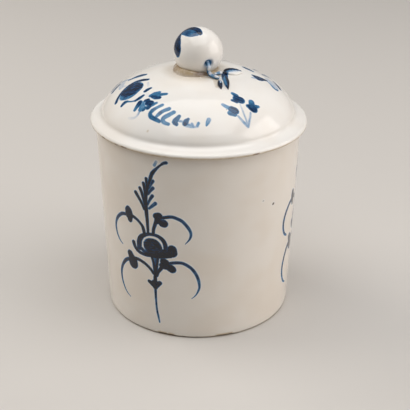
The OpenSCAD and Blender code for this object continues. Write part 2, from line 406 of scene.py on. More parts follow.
def turned(section, shift):
    """Rings of a section carried round the axis. shift gives each point its stray from round.

    The section runs from the axis to the axis, so its ends become the poles.
    """
    bearing = around(COLUMNS)[None, :]
    inner = section[1:-1]
    r, z = (np.broadcast_to(inner[:, n : n + 1], (len(inner), COLUMNS)) for n in (0, 1))
    dr, dz = shift(bearing, r, z)
    poles = [(0, 0, section[0, 1]), (0, 0, section[-1, 1])]
    return bearing, r, z, skin(at(bearing, r + dr, z + dz), poles)


# The pot

class Chip(NamedTuple):
    """A chip on the foot's outer edge: its place along the edge and its size."""

    along: float
    width: float
    depth: float


FOOT_CHIPS = (
    Chip(-11.2, 1.6, 0.4),
    Chip(-8.4, 1.1, 0.25),
    Chip(6.6, 1.3, 0.3),
    Chip(9.3, 1.8, 0.42),
    Chip(-46, 1.5, 0.3),
    Chip(58, 1.2, 0.3),
    Chip(84, 2, 0.4),
)
CHIP_RISE = 0.9  # how far up the wall a chip reaches
THROWING_PITCH = 3.3  # from one finger ridge to the next, up the inside
CHIPPED_W = 1.8  # how far in from the foot's outer radius the chips show
POOL_R, POOL_Z, POOL_SIZE = 24, 6, 6  # where the glaze gathered in the inner corner
FINE, COARSE = 0.16, 0.9  # spacing of points on a rounding and on a plain wall


def pot_section(m):
    """The pot's outline from the middle of the underside, up the wall and down inside."""
    taper = (m.lip_r - m.foot_r) / m.pot_h
    floor_r = m.foot_r - m.wall_t + taper * (m.floor_t + m.inner_corner_r)
    edge_r = m.foot_r - m.foot_edge_r
    ring_r = edge_r - m.foot_ring_w
    knee = m.foot_recess / 2
    knee_r = ring_r - 2 * knee
    wall_foot = (m.foot_r + taper, 2 * m.foot_edge_r)
    lip_z = m.pot_h - m.lip_round
    lip_out, lip_in = m.lip_r - m.lip_round, m.mouth_r + m.lip_round
    corner_r, corner_z = floor_r - m.inner_corner_r, m.floor_t + m.inner_corner_r
    return joined(
        line((0, m.foot_recess), (knee_r, m.foot_recess), COARSE),
        arc((knee_r, knee), knee, 90, 0, 5),
        arc((ring_r, knee), knee, 180, 270, 5),
        line((ring_r, 0), (edge_r, 0), 2 * FINE),
        arc((edge_r, m.foot_edge_r), m.foot_edge_r, -90, 0, 10),
        line((m.foot_r, m.foot_edge_r), wall_foot, FINE),
        line(wall_foot, (m.lip_r, lip_z), COARSE),
        arc((lip_out, lip_z), m.lip_round, 0, 90, 8),
        line((lip_out, m.pot_h), (lip_in, m.pot_h), 2 * FINE),
        arc((lip_in, lip_z), m.lip_round, 90, 180, 8),
        line((m.mouth_r, lip_z), (floor_r, corner_z), COARSE / 2),
        arc((corner_r, corner_z), m.inner_corner_r, 0, -90, 14),
        line((corner_r, m.floor_t), (0, m.floor_t), COARSE),
    )


def wall_stray(m, bearing, z):
    """How far the outside wall strays from its cone, as shares of the wobble."""
    swing = 0.3 * np.cos(3 * bearing + 2.4 - z / 60) - 0.7 * np.cos(2 * bearing)
    ripple = 0.12 * np.sin(z / 2.6 + bearing)
    return m.wobble * (swing + ripple) * ease(z / 16)


def chips(m, bearing):
    """Depth of the foot's chips at each bearing, as a row of shallow scoops."""
    depth = 0.05 * (1 + waver(bearing * 9, 4))
    for chip in FOOT_CHIPS:
        away = turn_between(bearing, chip.along / m.foot_r) * m.foot_r
        depth = depth + chip.depth * np.sqrt(np.clip(1 - (away / chip.width) ** 2, 0, 1))
    return depth


def pot_shift(m):
    """The stray of the thrown pot, its throwing rings inside and the chips on its foot."""

    def shift(bearing, r, z):
        inner_r = m.mouth_r - (m.lip_r - m.foot_r) * (1 - z / m.pot_h)
        outside = ease((r - inner_r) / m.wall_t * 2)
        inside = (1 - outside) * ease((z - m.floor_t - 2) / 4)
        rings = np.sin(TURN * z / THROWING_PITCH + bearing) * inside * m.throwing
        fade = ease((m.pot_h - z) / 6)
        dr = wall_stray(m, bearing, z) + rings * fade
        edge = ease((r - m.foot_r + CHIPPED_W) / 1.2) * ease(1 - z / CHIP_RISE)
        depth = chips(m, bearing) * edge
        return dr * ease(z / 2) - 0.8 * depth, depth
    return shift


def make_pot(m, material):
    """The pot: a section turned round the axis, strayed from round as thrown ware does.

    Facts: the ground ring, lip and chips are bare, and glaze pools in the inner corner. The top
    of the wall under the lid is brown and darker, a painted shadow of the brim, and the foot's
    lowest band is browner, partly a brown glaze edge and partly a painted contact shadow.
    """
    bearing, r, z, (points, fours, threes) = turned(pot_section(m), pot_shift(m))
    ring_r = m.foot_r - m.foot_edge_r - m.foot_ring_w
    ring = ease((0.5 - z) / 0.3) * ease((r - ring_r + 1) / 0.4)
    chipped = ease((chips(m, bearing) - 0.16) / 0.08) * ease(1.6 - z)
    chipped = chipped * ease((r - m.foot_r + CHIPPED_W) / 0.5)
    lip = ease((z - m.pot_h + 0.16) / 0.12)
    corner = ease(1 - np.hypot(r - POOL_R, z - POOL_Z) / POOL_SIZE) * (z > m.floor_t - 0.1)
    foot_pool = ease((3 - z) / 2.5) * (r > m.foot_r - 2)
    # Painted shadow of the brim: the top of the outside wall, tinted brown and darker
    under_brim_shadow = ease((z - m.pot_h + 1.6) / 1.4) * (r > m.mouth_r + 1)
    facts = {
        "warm": np.full(r.shape, 0.5),
        "bare": np.clip(ring + chipped + lip, 0, 1),
        "pool": 0.7 * corner + 0.35 * foot_pool,
        # Painted shadow under the brim, and at the foot a brown glaze edge with a painted contact
        # shadow
        "stain": 0.35 * under_brim_shadow + 0.5 * ease((0.8 - z) / 0.8),
        "dark": 0.5 * under_brim_shadow,
    }
    return make_piece("pot_body_glazed", points, fours, threes, facts, material)


# The lid

STAIN_SPREAD = 5  # how far the bead's stain spreads on the dome
CREASE_GLAZE_AT, CREASE_GLAZE_W = 0.8, 1.1  # beyond the dome's springing
# Dark marks on the brim's lower edge: bearing and width, in degrees
EDGE_MARKS = ((-57, 1), (-45.5, 1.2), (-40.3, 1.8), (29.8, 1.5), (104, 1.4), (163, 1.6), (-140, 1.2))


def dome_z(m, r):
    """Height of the dome's outside: a curve of the ellipse's family with two fullnesses."""
    run = 1 - np.minimum(np.asarray(r) / m.dome_r, 1) ** m.dome_shoulder
    return m.spring_z + (m.crown_z - m.spring_z) * run ** (1 / m.dome_crown)


def dome_curve(m, radius, height, end):
    """Points from the springing at a radius up to the polar angle end, in degrees."""
    a = np.radians(np.linspace(0, end, 400))
    r = radius * np.cos(a) ** (2 / m.dome_shoulder)
    return np.stack([r, m.spring_z + height * np.sin(a) ** (2 / m.dome_crown)], -1)


def lid_section(m):
    """The lid's outline: knob seat, dome, crease, brim, seating face, flange and hollow."""
    seat = math.degrees(math.acos((m.knob_seat_r / m.dome_r) ** (m.dome_shoulder / 2)))
    outside = respaced(dome_curve(m, m.dome_r, m.crown_z - m.spring_z, seat)[::-1], COARSE / 2)
    hollow = respaced(dome_curve(m, m.hollow_r, m.hollow_top - m.spring_z, 88), COARSE)
    half_brim, half_flange = m.brim_t / 2, m.flange_t / 2
    flange_end = m.pot_h - m.flange_h + half_flange
    fillet = 0.3  # between the seating face and the flange
    fillet_r, fillet_z = m.flange_r + fillet, m.pot_h - fillet
    crease_end = m.dome_r + m.crease_r
    edge_r = m.lid_r - half_brim
    return joined(
        line((0, m.knob_seat_z), (m.knob_seat_r, m.knob_seat_z), COARSE),
        outside,
        arc((crease_end, m.spring_z), m.crease_r, 180, 270, 10),
        line((crease_end, m.brim_top), (edge_r, m.brim_top), FINE),
        arc((edge_r, m.pot_h + half_brim), half_brim, 90, -90, 20),
        line((edge_r, m.pot_h), (fillet_r, m.pot_h), 2 * FINE),
        arc((fillet_r, fillet_z), fillet, 90, 180, 4),
        line((m.flange_r, fillet_z), (m.flange_r, flange_end), COARSE / 2),
        arc((m.flange_r - half_flange, flange_end), half_flange, 0, -180, 12),
        line((m.hollow_r, flange_end), (m.hollow_r, m.spring_z), COARSE),
        hollow,
        [(0, m.hollow_top)],
    )


def rightness(bearing):
    """1 at the right, and soon near 0 towards the left."""
    return (0.5 + 0.5 * np.sin(bearing)) ** 2


def lid_stray(m, bearing, r):
    """How far the lid's upper skin strays: a swollen dome, a soft crease and a sunken brim."""
    out = np.clip(r / m.lid_r, 0, 1)
    sunken = m.sag * rightness(bearing) * out**8
    share = np.clip((r - m.knob_seat_r) / (m.dome_r - m.knob_seat_r), 0, 1)
    swollen = (m.swell - 0.12 * np.sin(bearing)) * np.sin(math.pi * share)
    filled = m.crease_fill * np.exp(-(((r - m.dome_r - CREASE_GLAZE_AT) / CREASE_GLAZE_W) ** 2))
    wave = 0.06 * waver(bearing, 11) * ease((r - m.dome_r + 3) / 5)
    return swollen + filled - sunken + wave


def dome_skin(m, bearing, r):
    """Height of the finished dome's skin."""
    fade = ease((r - m.knob_seat_r) / 4)
    return dome_z(m, r) + fade * lid_stray(m, bearing, r)


def lid_shift(m):
    """The stray of the lid. The seating face and the flange stay true, so the lid still fits."""

    def shift(bearing, r, z):
        top = ease((z - m.pot_h) / m.brim_t) * ease((r - m.knob_seat_r) / 4)
        beyond = ease((r - m.lip_r) / (m.lid_r - m.lip_r))
        hollow = (r < m.hollow_r + 0.1) & (z < dome_z(m, r) - 1.5)
        share = np.where(hollow, 0, np.maximum(top, beyond))
        spread = m.spread * rightness(bearing) + 0.12 * waver(bearing, 13)
        dr = np.where(hollow, 0, spread * ease((r - m.dome_r) / 3))
        return dr, share * lid_stray(m, bearing, r)
    return shift


def make_lid(m, material):
    """The lid: a section turned round the axis, with the sag and spread that firing gave it.

    Facts: the brim's lower edge is brown, partly a stain and partly painted shade on its
    downward face, with a few dark marks, and a warm stain spreads from the bead of slip.
    """
    bearing, r, z, (points, fours, threes) = turned(lid_section(m), lid_shift(m))
    outside = z > dome_z(m, np.minimum(r, m.dome_r)) - 1
    # The edges below are heights above the lip, in millimetres
    low_edge_stain_and_shade = ease((m.pot_h + 1.1 - z) / 0.7) * ease(r - m.flange_r + 1)
    line_edge = ease((m.pot_h + 0.55 - z) / 0.35)
    marks = np.zeros_like(r)
    for degrees, width in EDGE_MARKS:
        away = np.degrees(turn_between(bearing, math.radians(degrees)))
        marks = np.maximum(marks, ease(1.6 - np.abs(away) / width))
    marks = marks * ease((m.pot_h + 0.95 - z) / 0.25) * (r > m.lip_r)
    seat = ease((m.pot_h + 0.12 - z) / 0.1) * (r > m.flange_r + 0.4) * (r < m.lip_r)
    halo = ease(1 - (r - m.knob_seat_r) / STAIN_SPREAD) * outside
    facts = {
        "bare": np.clip(0.4 * line_edge * (r > m.lip_r) + seat, 0, 1),
        # The brim's lower edge: brown stain and painted shade together, with real dark marks
        "stain": np.clip(0.85 * low_edge_stain_and_shade + 0.32 * halo + marks, 0, 1),
        "dark": np.clip(0.75 * line_edge * low_edge_stain_and_shade + marks, 0, 1),
    }
    return make_piece("lid_glazed", points, fours, threes, facts, material)


# The knob and its bead

KNOB_STEPS = 120  # points from the fruit's foot to its top
BEAD_FRONT, BEAD_BACK = 22, 6  # points across the bead's front and behind it
BEAD_FATTEST, BEAD_FRONT_LUMP, BEAD_LUMP_W = -1.4, -0.4, 0.5  # in radians of bearing
BEAD_INSET = 0.05  # how deep the bead sits in the fruit
SPOT_BEFORE_TWIG = math.radians(16)  # from the bead's dark spot to the twig


def ball_point(m, bearing, elevation):
    """A point of the fruit: a ball, a little off round, scooped out at the dimple.

    Also gives how far the point lies from the dimple's middle along the skin.
    """
    flat = np.cos(elevation)
    way = at(bearing, flat, np.sin(elevation))
    drop = -m.dimple_drop
    middle = at(m.twig_bearing, math.cos(drop), math.sin(drop))
    away = m.knob_r * np.arccos(np.clip(way @ middle, -1, 1))
    scoop = 0.9 * m.dimple_r * (1 - ease(away / (1.25 * m.dimple_r)))
    lump = 0.05 * waver(bearing, 21) * flat + 0.04 * np.cos(3 * elevation)
    point = way * (m.knob_r + lump - scoop)[..., None]
    return point + np.array([0, 0, m.knob_z]), away


def make_knob(m, material):
    """The fruit: elevation by bearing, with a flat foot and a dimple. Its lower part is warmer and
    darker, partly a stain and partly painted shade, and the dimple holds a cobalt wash that is
    partly painted shade.
    """
    lowest = -math.asin((m.knob_r - m.knob_flat) / m.knob_r)
    elevation = np.linspace(lowest, math.pi / 2, KNOB_STEPS)[:-1, None]
    rings, away = ball_point(m, around(COLUMNS // 2)[None, :], elevation)
    poles = [(0, 0, m.knob_seat_z), (0, 0, m.knob_z + m.knob_r)]
    points, fours, threes = skin(rings, poles)
    # Painted shade at the fruit's foot, with a warm stain: slip colour and greyer pooled glaze
    low = ease(1 - (rings[..., 2] - m.knob_seat_z) / 2.8)
    # The dimple's cobalt wash and faint ring round it are partly paint and partly painted shade in the
    # hollow
    rim = 0.68 * (1 - ease((away - 0.5) / 1.3))
    cloud = 0.14 * (1 - ease((away - 1) / 2))
    facts = {
        "cobalt": np.maximum(rim, cloud),
        # Warm stain with painted shade, at the fruit's foot and in the dimple
        "stain": 0.35 * low + 0.5 * (1 - ease((away - 0.6) / 1.4)),
        "pool": 0.5 * low,
    }
    return make_piece("fruit_knob", points, fours, threes, facts, material)


def make_bead(m, material):
    """The bead of slip: a roll from the dome up to the fruit, uneven as a finger leaves it.

    Each section is a bend from the dome to the fruit, closed behind along the fruit's skin.
    The bead is fattest on the left, with a lump in front, and darkest just left of the stalk.
    Where it thins out over the glaze, the stain melts away, and low on its fat side it is darker
    as painted shade. up runs from its foot to its top.
    """
    bearing = around(COLUMNS // 2)[:, None]
    fat = (0.5 + 0.5 * np.cos(bearing - BEAD_FATTEST)) ** 1.5
    in_front = np.exp(-((turn_between(bearing, BEAD_FRONT_LUMP) / BEAD_LUMP_W) ** 2))
    height = m.bead_h * (0.52 + 0.82 * fat + 0.3 * in_front + 0.1 * waver(bearing, 31))
    width = m.bead_w * (0.85 + 0.38 * fat + 0.08 * waver(bearing, 32))

    def ball_r(z):
        return np.sqrt(m.knob_r**2 - (m.knob_z - z) ** 2)

    foot_r = m.knob_foot_r + width
    foot_z = dome_skin(m, bearing, foot_r) - 0.03
    top_z = m.knob_seat_z + height
    top_r = ball_r(top_z) - BEAD_INSET
    bulge_r = foot_r - (0.42 - 0.3 * fat) * m.bead_w
    bulge_z = top_z + 0.1 * m.bead_h * fat
    t = np.linspace(0, 1, BEAD_FRONT)[None, :]
    back = np.linspace(1, 0, BEAD_BACK + 1)[None, 1:]
    back_z = foot_z + back * (top_z - foot_z)
    back_r = ball_r(np.maximum(back_z, m.knob_seat_z)) - 2 * BEAD_INSET
    r = np.concatenate([bezier(t, foot_r, bulge_r, top_r), back_r], 1)
    z = np.concatenate([bezier(t, foot_z, bulge_z, top_z), back_z], 1)
    fours, threes = skin_faces(*r.shape, ring=True)
    beside = np.abs(turn_between(bearing, m.twig_bearing - SPOT_BEFORE_TWIG))
    spot = ease(1.2 - beside / 0.4)
    dark = spot + 0.25 * ease(2 * waver(bearing, 33))
    up = np.concatenate([t, 0 * back + 1], 1)
    melt = (1 - ease(up / 0.4)) * (1 - 0.8 * fat)
    melt = np.maximum(melt, 0.9 * (1 - ease(up / 0.16)))
    dark = (dark + 0.2 * fat) * (1 - 0.65 * ease((up - 0.6) / 0.4))
    # Painted shade along the lower edge of the bead's fat side
    dark = dark + 0.3 * fat * (1 - ease(up / 0.35))
    facts = {
        "stain": np.clip(0.9 - 0.6 * melt * (1 - spot), 0, 1),
        "dark": np.clip(dark * (1 - 0.7 * melt), 0, 1),
    }
    points = at(bearing, r, z).reshape(-1, 3)
    return make_piece("slip_bead_stained", points, fours, threes, facts, material)


# The twig. The stalk's way is on the fruit by bearing and drop below the dimple, over the bead
# by bearing and angle round its section, and on the dome by bearing and reach in half
# thicknesses, all in degrees and laid out with the dimple at the front.

KNOB_WAY = np.radians([(-1, 5), (-1, 12)])
BEAD_WAY = np.radians([(1, 45), (2, 30), (3, 15)])
DOME_WAY = ((4, 2), (8, 4))
SIDE_WAY = ((13, 0), (21, 0), (29, 0.2), (35, 0.7))
LOWER_BEARING, LOWER_HEADING, LOWER_BEND = np.radians([12, -23, 7])
UPPER_HEADING, UPPER_BEND = np.radians([112, -36])
LEAD_SHARE = 0.46  # share of the long leaf that lies behind the short leaf's foot
LEAF_WIDEST = 0.45  # share of a leaf's length at which it is widest
LEAF_FULLNESS = 0.8
LEAF_EDGE = 0.3  # height of a leaf's edge, as a share of its cheeks' height
VEIN_PITCH = 1.1  # from one side vein to the next
KNUCKLE_PITCH = 2.6  # from one knuckle of a twig to the next
TUBE_SIDES = 24
TWIG_STEPS = 14  # from one point of a twig's way to the next
LEAF_RIBS, LEAF_CELLS = 64, 24


def on_dome(m, place, h):
    """The points of the dome's skin over plan places laid out at the front, raised by h."""
    place = np.asarray(place, float)
    bearing, r = polar(place)
    height = dome_skin(m, bearing + m.twig_bearing, r) + h
    return np.concatenate([place, height[..., None]], -1)


def off_knob(m, bearing, elevation, h):
    """A point h outside the fruit's skin."""
    r = m.knob_r + h
    return at(bearing, r * math.cos(elevation), m.knob_z + r * math.sin(elevation))


def off_bead(m, bearing, a, h):
    """A point h outside the bead, and never nearer than h to the fruit or the dome."""
    normal = unit(np.array([math.cos(a) / m.bead_w, math.sin(a) / m.bead_h]))
    r = m.knob_foot_r + m.bead_w * math.cos(a) + h * normal[0]
    z = m.knob_seat_z + m.bead_h * math.sin(a) + h * normal[1]
    centre = np.array([0, 0, m.knob_z])
    away = at(bearing, r, max(z, float(dome_z(m, r)) + h)) - centre
    return centre + unit(away) * max(np.linalg.norm(away), m.knob_r + h)


def lower_foot(m):
    """The plan place where the long and short leaves lie side by side."""
    return plan(LOWER_BEARING, m.knob_seat_r + m.stalk_reach)


def short_foot(m):
    """The plan place of the short leaf's foot."""
    return lower_foot(m) - plan(LOWER_HEADING + TURN / 4, m.short_leaf_w / 2 + 2 * m.lute_gap)


def long_foot(m):
    """The plan place of the long leaf's foot, back along its line."""
    aside = plan(LOWER_HEADING + TURN / 4, m.long_leaf_w / 2 + 2 * m.lute_gap)
    return lower_foot(m) + aside - plan(LOWER_HEADING, LEAD_SHARE * m.long_leaf_l)


def side_way(m):
    """The points of the side twig's middle line."""
    places = [
        plan(math.radians(b), m.knob_seat_r + m.side_off + 2 * out * m.side_r)
        for b, out in SIDE_WAY
    ]
    return on_dome(m, places, m.side_off)


def upper_foot(m):
    """The plan place of the upper leaf's foot, just past the side twig's tip."""
    return side_way(m)[-1, :2] + plan(UPPER_HEADING, m.lute_gap + m.stalk_r)


def stalk_way(m):
    """The points of the stalk's middle line, from inside the dimple to the short leaf."""
    root = math.sqrt(m.dimple_r**2 - m.stalk_off**2) - m.lute_gap
    drop = -m.dimple_drop
    start = [off_knob(m, 0, drop, -root), off_knob(m, 0, drop, -root / 3)]
    down = [off_knob(m, b, drop - d, m.stalk_off) for b, d in KNOB_WAY]
    over = [off_bead(m, b, a, m.stalk_off) for b, a in BEAD_WAY]
    places = [plan(math.radians(b), m.knob_seat_r + out * m.stalk_off) for b, out in DOME_WAY]
    places.append(short_foot(m) - plan(LOWER_HEADING, m.lute_gap + m.stalk_r))
    return np.concatenate([start, down, over, on_dome(m, places, m.stalk_off)])


def to_twig(m, points):
    """Turns points laid out at the front to the twig's bearing."""
    s, c = math.sin(m.twig_bearing), math.cos(m.twig_bearing)
    turn = np.array([[c, -s, 0], [s, c, 0], [0, 0, 1]])
    return points @ turn.T


def make_twig(m, node, way, radius, ink, material):
    """A twig: a round section carried along its way, with knuckles and a slow twist.

    Its raised side is paler and its flanks darker: partly cobalt that ran off the top and pooled
    along the flanks, partly a painted highlight along the top.
    """
    middle = curve_through(way, TWIG_STEPS)
    along = unit(np.gradient(middle, axis=0))
    left = unit(np.cross(along, unit(np.array([0, -1, 1]))))
    up = np.cross(left, along)
    run = run_of(middle)
    a = around(TUBE_SIDES)[None, :]
    knuckle = 0.5 + 0.5 * np.cos(TURN * run / KNUCKLE_PITCH + 0.6)
    swell = radius * (0.86 + 0.14 * knuckle**3)[:, None]
    swell = swell * (1 + 0.07 * np.cos(3 * a + 1.9 * run[:, None]))
    close = np.minimum(run, run[-1] - run)[:, None] / radius
    swell = swell * np.sqrt(1 - (1 - np.clip(close, 0, 1)) ** 2)
    aside, above = ((swell * wave(a))[..., None] for wave in (np.cos, np.sin))
    rings = middle[:, None] + aside * left[:, None] + above * up[:, None]
    points, fours, threes = skin(to_twig(m, rings[1:-1]), to_twig(m, middle[[0, -1]]))
    side = np.sin(a) + 0 * run[1:-1, None]
    # Painted highlight along the twig's top, partly cobalt that ran off it
    pale_top_highlight = ease((side - 0.1) / 0.7) * (0.75 + 0.25 * np.cos(2.4 * run[1:-1, None]))
    facts = {
        "cobalt": ink * (1 - 0.84 * pale_top_highlight),
        "stain": 0.3 * ease(-side),
        "brush": points * 2,
    }
    return make_piece(f"{node}_painted", points, fours, threes, facts, material)


def leaf_half_width(s, half):
    """Half a leaf's width at share s of its length: a quick swell, then a blunt point."""
    rise = np.sin(TURN / 4 * np.minimum(s / LEAF_WIDEST, 1))
    fall = np.cos(TURN / 4 * np.maximum(s - LEAF_WIDEST, 0) / (1 - LEAF_WIDEST))
    return half * np.clip(rise * fall, 0, 1) ** LEAF_FULLNESS


def make_leaf(m, node, foot, long, wide, heading, bend, ink, material):
    """A moulded leaf that hugs the dome: two pillowed cheeks, a midrib furrow and side veins.

    Share s runs from foot to tip and u from edge to edge. ink gives the wash at s and u.
    """
    s = (1 - np.cos(np.linspace(0, math.pi, LEAF_RIBS))) / 2
    turn = heading + bend * s
    steps = np.diff(s, prepend=0)[:, None] * long
    rib = foot + np.cumsum(plan(turn, 1) * steps, axis=0)
    blunt = np.sin(np.pi * np.clip(s, 0, 1)) ** 0.25
    half = np.maximum(leaf_half_width(s, wide / 2), m.leaf_t / 5 * blunt)
    across = plan(turn + TURN / 4, half)
    u = np.sin(np.linspace(math.pi / 2, -math.pi / 2, LEAF_CELLS))
    swell = LEAF_EDGE + (1 - LEAF_EDGE) * np.sqrt(np.sin(math.pi * s))
    swell = (swell * ease(np.sin(math.pi * s) * 6))[:, None]
    cheeks = m.leaf_t * (LEAF_EDGE + (1 - LEAF_EDGE) * np.sqrt(1 - u**2))
    furrow = m.vein_depth * np.clip(1 - (u / LEAF_WIDEST) ** 2, 0, 1)
    veins = 0.07 * np.cos(TURN * (s[:, None] * long / VEIN_PITCH - 1.2 * np.abs(u))) * (1 - u**2)
    place = rib[:, None] + u[None, :, None] * across[:, None]
    top = on_dome(m, place, m.lute_gap + swell * (cheeks - furrow + veins))
    below = place[:, ::-1][:, 1:-1:3]
    under = on_dome(m, below, np.full(below.shape[:2], m.lute_gap / 2))
    rings = np.concatenate([top, under], 1)[1:-1]
    ends = on_dome(m, rib[[0, -1]], m.lute_gap)
    points, fours, threes = skin(to_twig(m, rings), to_twig(m, ends))
    cobalt = ink(s[:, None], np.concatenate([u, u[::-1][1:-1:3]])[None, :])
    facts = {"cobalt": cobalt[1:-1], "brush": points * 2}
    return make_piece(f"{node}_painted", points, fours, threes, facts, material)


def upper_ink(s, u):
    """Navy at the foot and along the back edge, and a wash that fades to white in front."""
    foot = ease(1.3 - s / (0.25 + 0.13 * u))
    edge = (1.15 - 0.2 * s) * ease((u + 0.2) / 0.5)
    wash = 0.48 * ease((u + 1.1) / 0.9) * (1 - 0.6 * s)
    return np.maximum(np.maximum(foot, edge), wash)


def long_ink(s, u):
    """Mid blue on the left, dark on the right and at the tip."""
    return 0.55 + 0.5 * ease((u + 0.35) / 0.6) + 0.4 * ease((s - 0.75) / 0.2)


def short_ink(s, u):
    """A painted highlight as a white ridge down to the middle, then a full dark tip."""
    # Painted highlight: a white ridge on the short leaf
    ridge = ease(1 - np.abs(u - 0.25) / 0.55) * ease((0.62 - s) / 0.15)
    return 1 - 0.9 * ridge


# The painting. A piece's fact called cobalt, stain or iron says how strongly its material
# shows that colour at a point, and brush says where the point lies along and across a stroke.

class Stroke(NamedTuple):
    """One touch of the brush.

    way: points of its middle line. half: half widths, evenly shared from start to end.
    load: cobalt in the brush, at the start and the end. hollow: how much paler its middle is.
    One number in place of the half widths or loads holds for the whole stroke.
    """

    way: tuple
    half: tuple | float
    load: tuple | float = 1.1
    hollow: float = 0.0


# The wall's sprig, in millimetres to the right of its middle and above the table
PLUME = (
    Stroke(
        (
            (-1.3, 34.9), (-1.4, 38.9), (-1.6, 42.8), (-1.7, 45.3),
            (-1.5, 47.5), (-0.4, 51.6), (0.8, 55.2),
        ),
        (0.28, 0.38, 0.5, 0.56, 0.4, 0.36, 0.4),
    ),
    Stroke(
        ((0.1, 53.6), (0.8, 55.2), (2, 56.8), (4, 58.8), (5.1, 59.3)),
        (0.36, 0.48, 0.3, 0.22, 0.4), (0.95, 0.9),
    ),
    Stroke(((-5, 47.8), (-3.1, 44.9), (-2.3, 43)), (0.48, 0.38, 0.32)),
    Stroke(((-3.4, 49.6), (-2.8, 48.1), (-2, 44.4)), (0.42, 0.36, 0.28)),
    Stroke(((-2.1, 51.5), (-1.9, 50), (-1.7, 46.4)), (0.42, 0.3, 0.28)),
    Stroke(((-1.1, 53.2), (-1.1, 51.4), (-1.2, 49.2)), (0.4, 0.24, 0.24)),
    Stroke(((1, 52.9), (0.4, 51.8), (-0.3, 50.3)), (0.4, 0.28, 0.24), (0.85, 0.8)),
    Stroke(((0.9, 50.6), (0.1, 49.6), (-0.7, 48.3)), (0.42, 0.32, 0.28), (0.85, 0.8)),
    Stroke(((0.6, 48), (-0.2, 46.6), (-1.1, 44.8)), (0.42, 0.3, 0.28), (0.9, 0.85)),
    Stroke(((1.5, 45.7), (0.4, 44.6), (-0.6, 43.6)), (0.46, 0.38, 0.28), (0.72, 0.7)),
    Stroke(((1.6, 58), (2.2, 59.2)), (0.4, 0.34), (0.34, 0.22)),
)
FLOWER = (
    Stroke(((-0.3, 30.8), (0.2, 30.8)), (2.75, 2.8), 1),
    Stroke(
        (
            (-4.8, 29.3), (-4.7, 31.1), (-4.2, 32.7), (-3, 34), (-1, 34.9),
            (1.3, 35), (2.9, 34.3), (3.8, 33.2), (4.2, 31.8), (4.3, 30.2),
        ),
        (0.75, 0.85, 0.75, 0.58, 0.44, 0.4, 0.48, 0.58, 0.62, 0.6), (1, 0.95),
    ),
    Stroke(
        ((-6.9, 30.5), (-6.5, 29.2), (-5.5, 28.1), (-4.2, 27.6), (-2.4, 27.5), (-0.6, 27.8)),
        (0.58, 0.52, 0.46, 0.45, 0.5, 0.55), (1, 0.95),
    ),
    Stroke(((-4.2, 29.4), (-2.8, 28.5), (-1.2, 28.3)), (0.5, 0.55, 0.5), (0.85, 0.9)),
    Stroke(
        ((-2.4, 27.8), (-0.3, 27.9), (1.7, 28.2), (4, 28.7), (5.6, 29)),
        (0.55, 0.7, 0.9, 0.95, 0.8), 1.2,
    ),
    Stroke(((2.6, 29.5), (4.8, 29.8)), 1, 1),
    Stroke(((6.2, 31), (6.3, 29.9)), (1.35, 1.4)),
)
STEM = (
    Stroke(
        ((-0.5, 27.6), (0, 25.9), (0.3, 23.9), (0.5, 21.9), (0.5, 19.8)),
        (0.34, 0.34, 0.36, 0.42, 0.44),
    ),
    Stroke(((1.7, 28.1), (1.4, 26), (1.1, 23.8), (0.8, 21.4)), (0.34, 0.34, 0.36, 0.36)),
    Stroke(((0.6, 27.4), (0.7, 25.2), (0.7, 23)), (0.6, 0.5, 0.34), (0.6, 0.7)),
    Stroke(((0.5, 20.6), (0.4, 18.2)), (0.48, 0.55)),
    Stroke(((-1.7, 18.4), (-0.7, 17.9), (0.3, 17.2)), (0.45, 0.75, 0.75)),
    Stroke(((2, 18.7), (1.3, 18.1), (0.6, 17.2)), (0.6, 0.75, 0.7)),
    Stroke(((0.3, 18.4), (0.4, 16.9)), (1, 0.75)),
    Stroke(
        ((0.4, 16.6), (0.4, 13.7), (0.5, 10.8), (0.7, 8.3), (1.1, 6.2), (1.4, 4.4)),
        (0.34, 0.3, 0.26, 0.26, 0.28, 0.2), (0.95, 0.62),
    ),
)
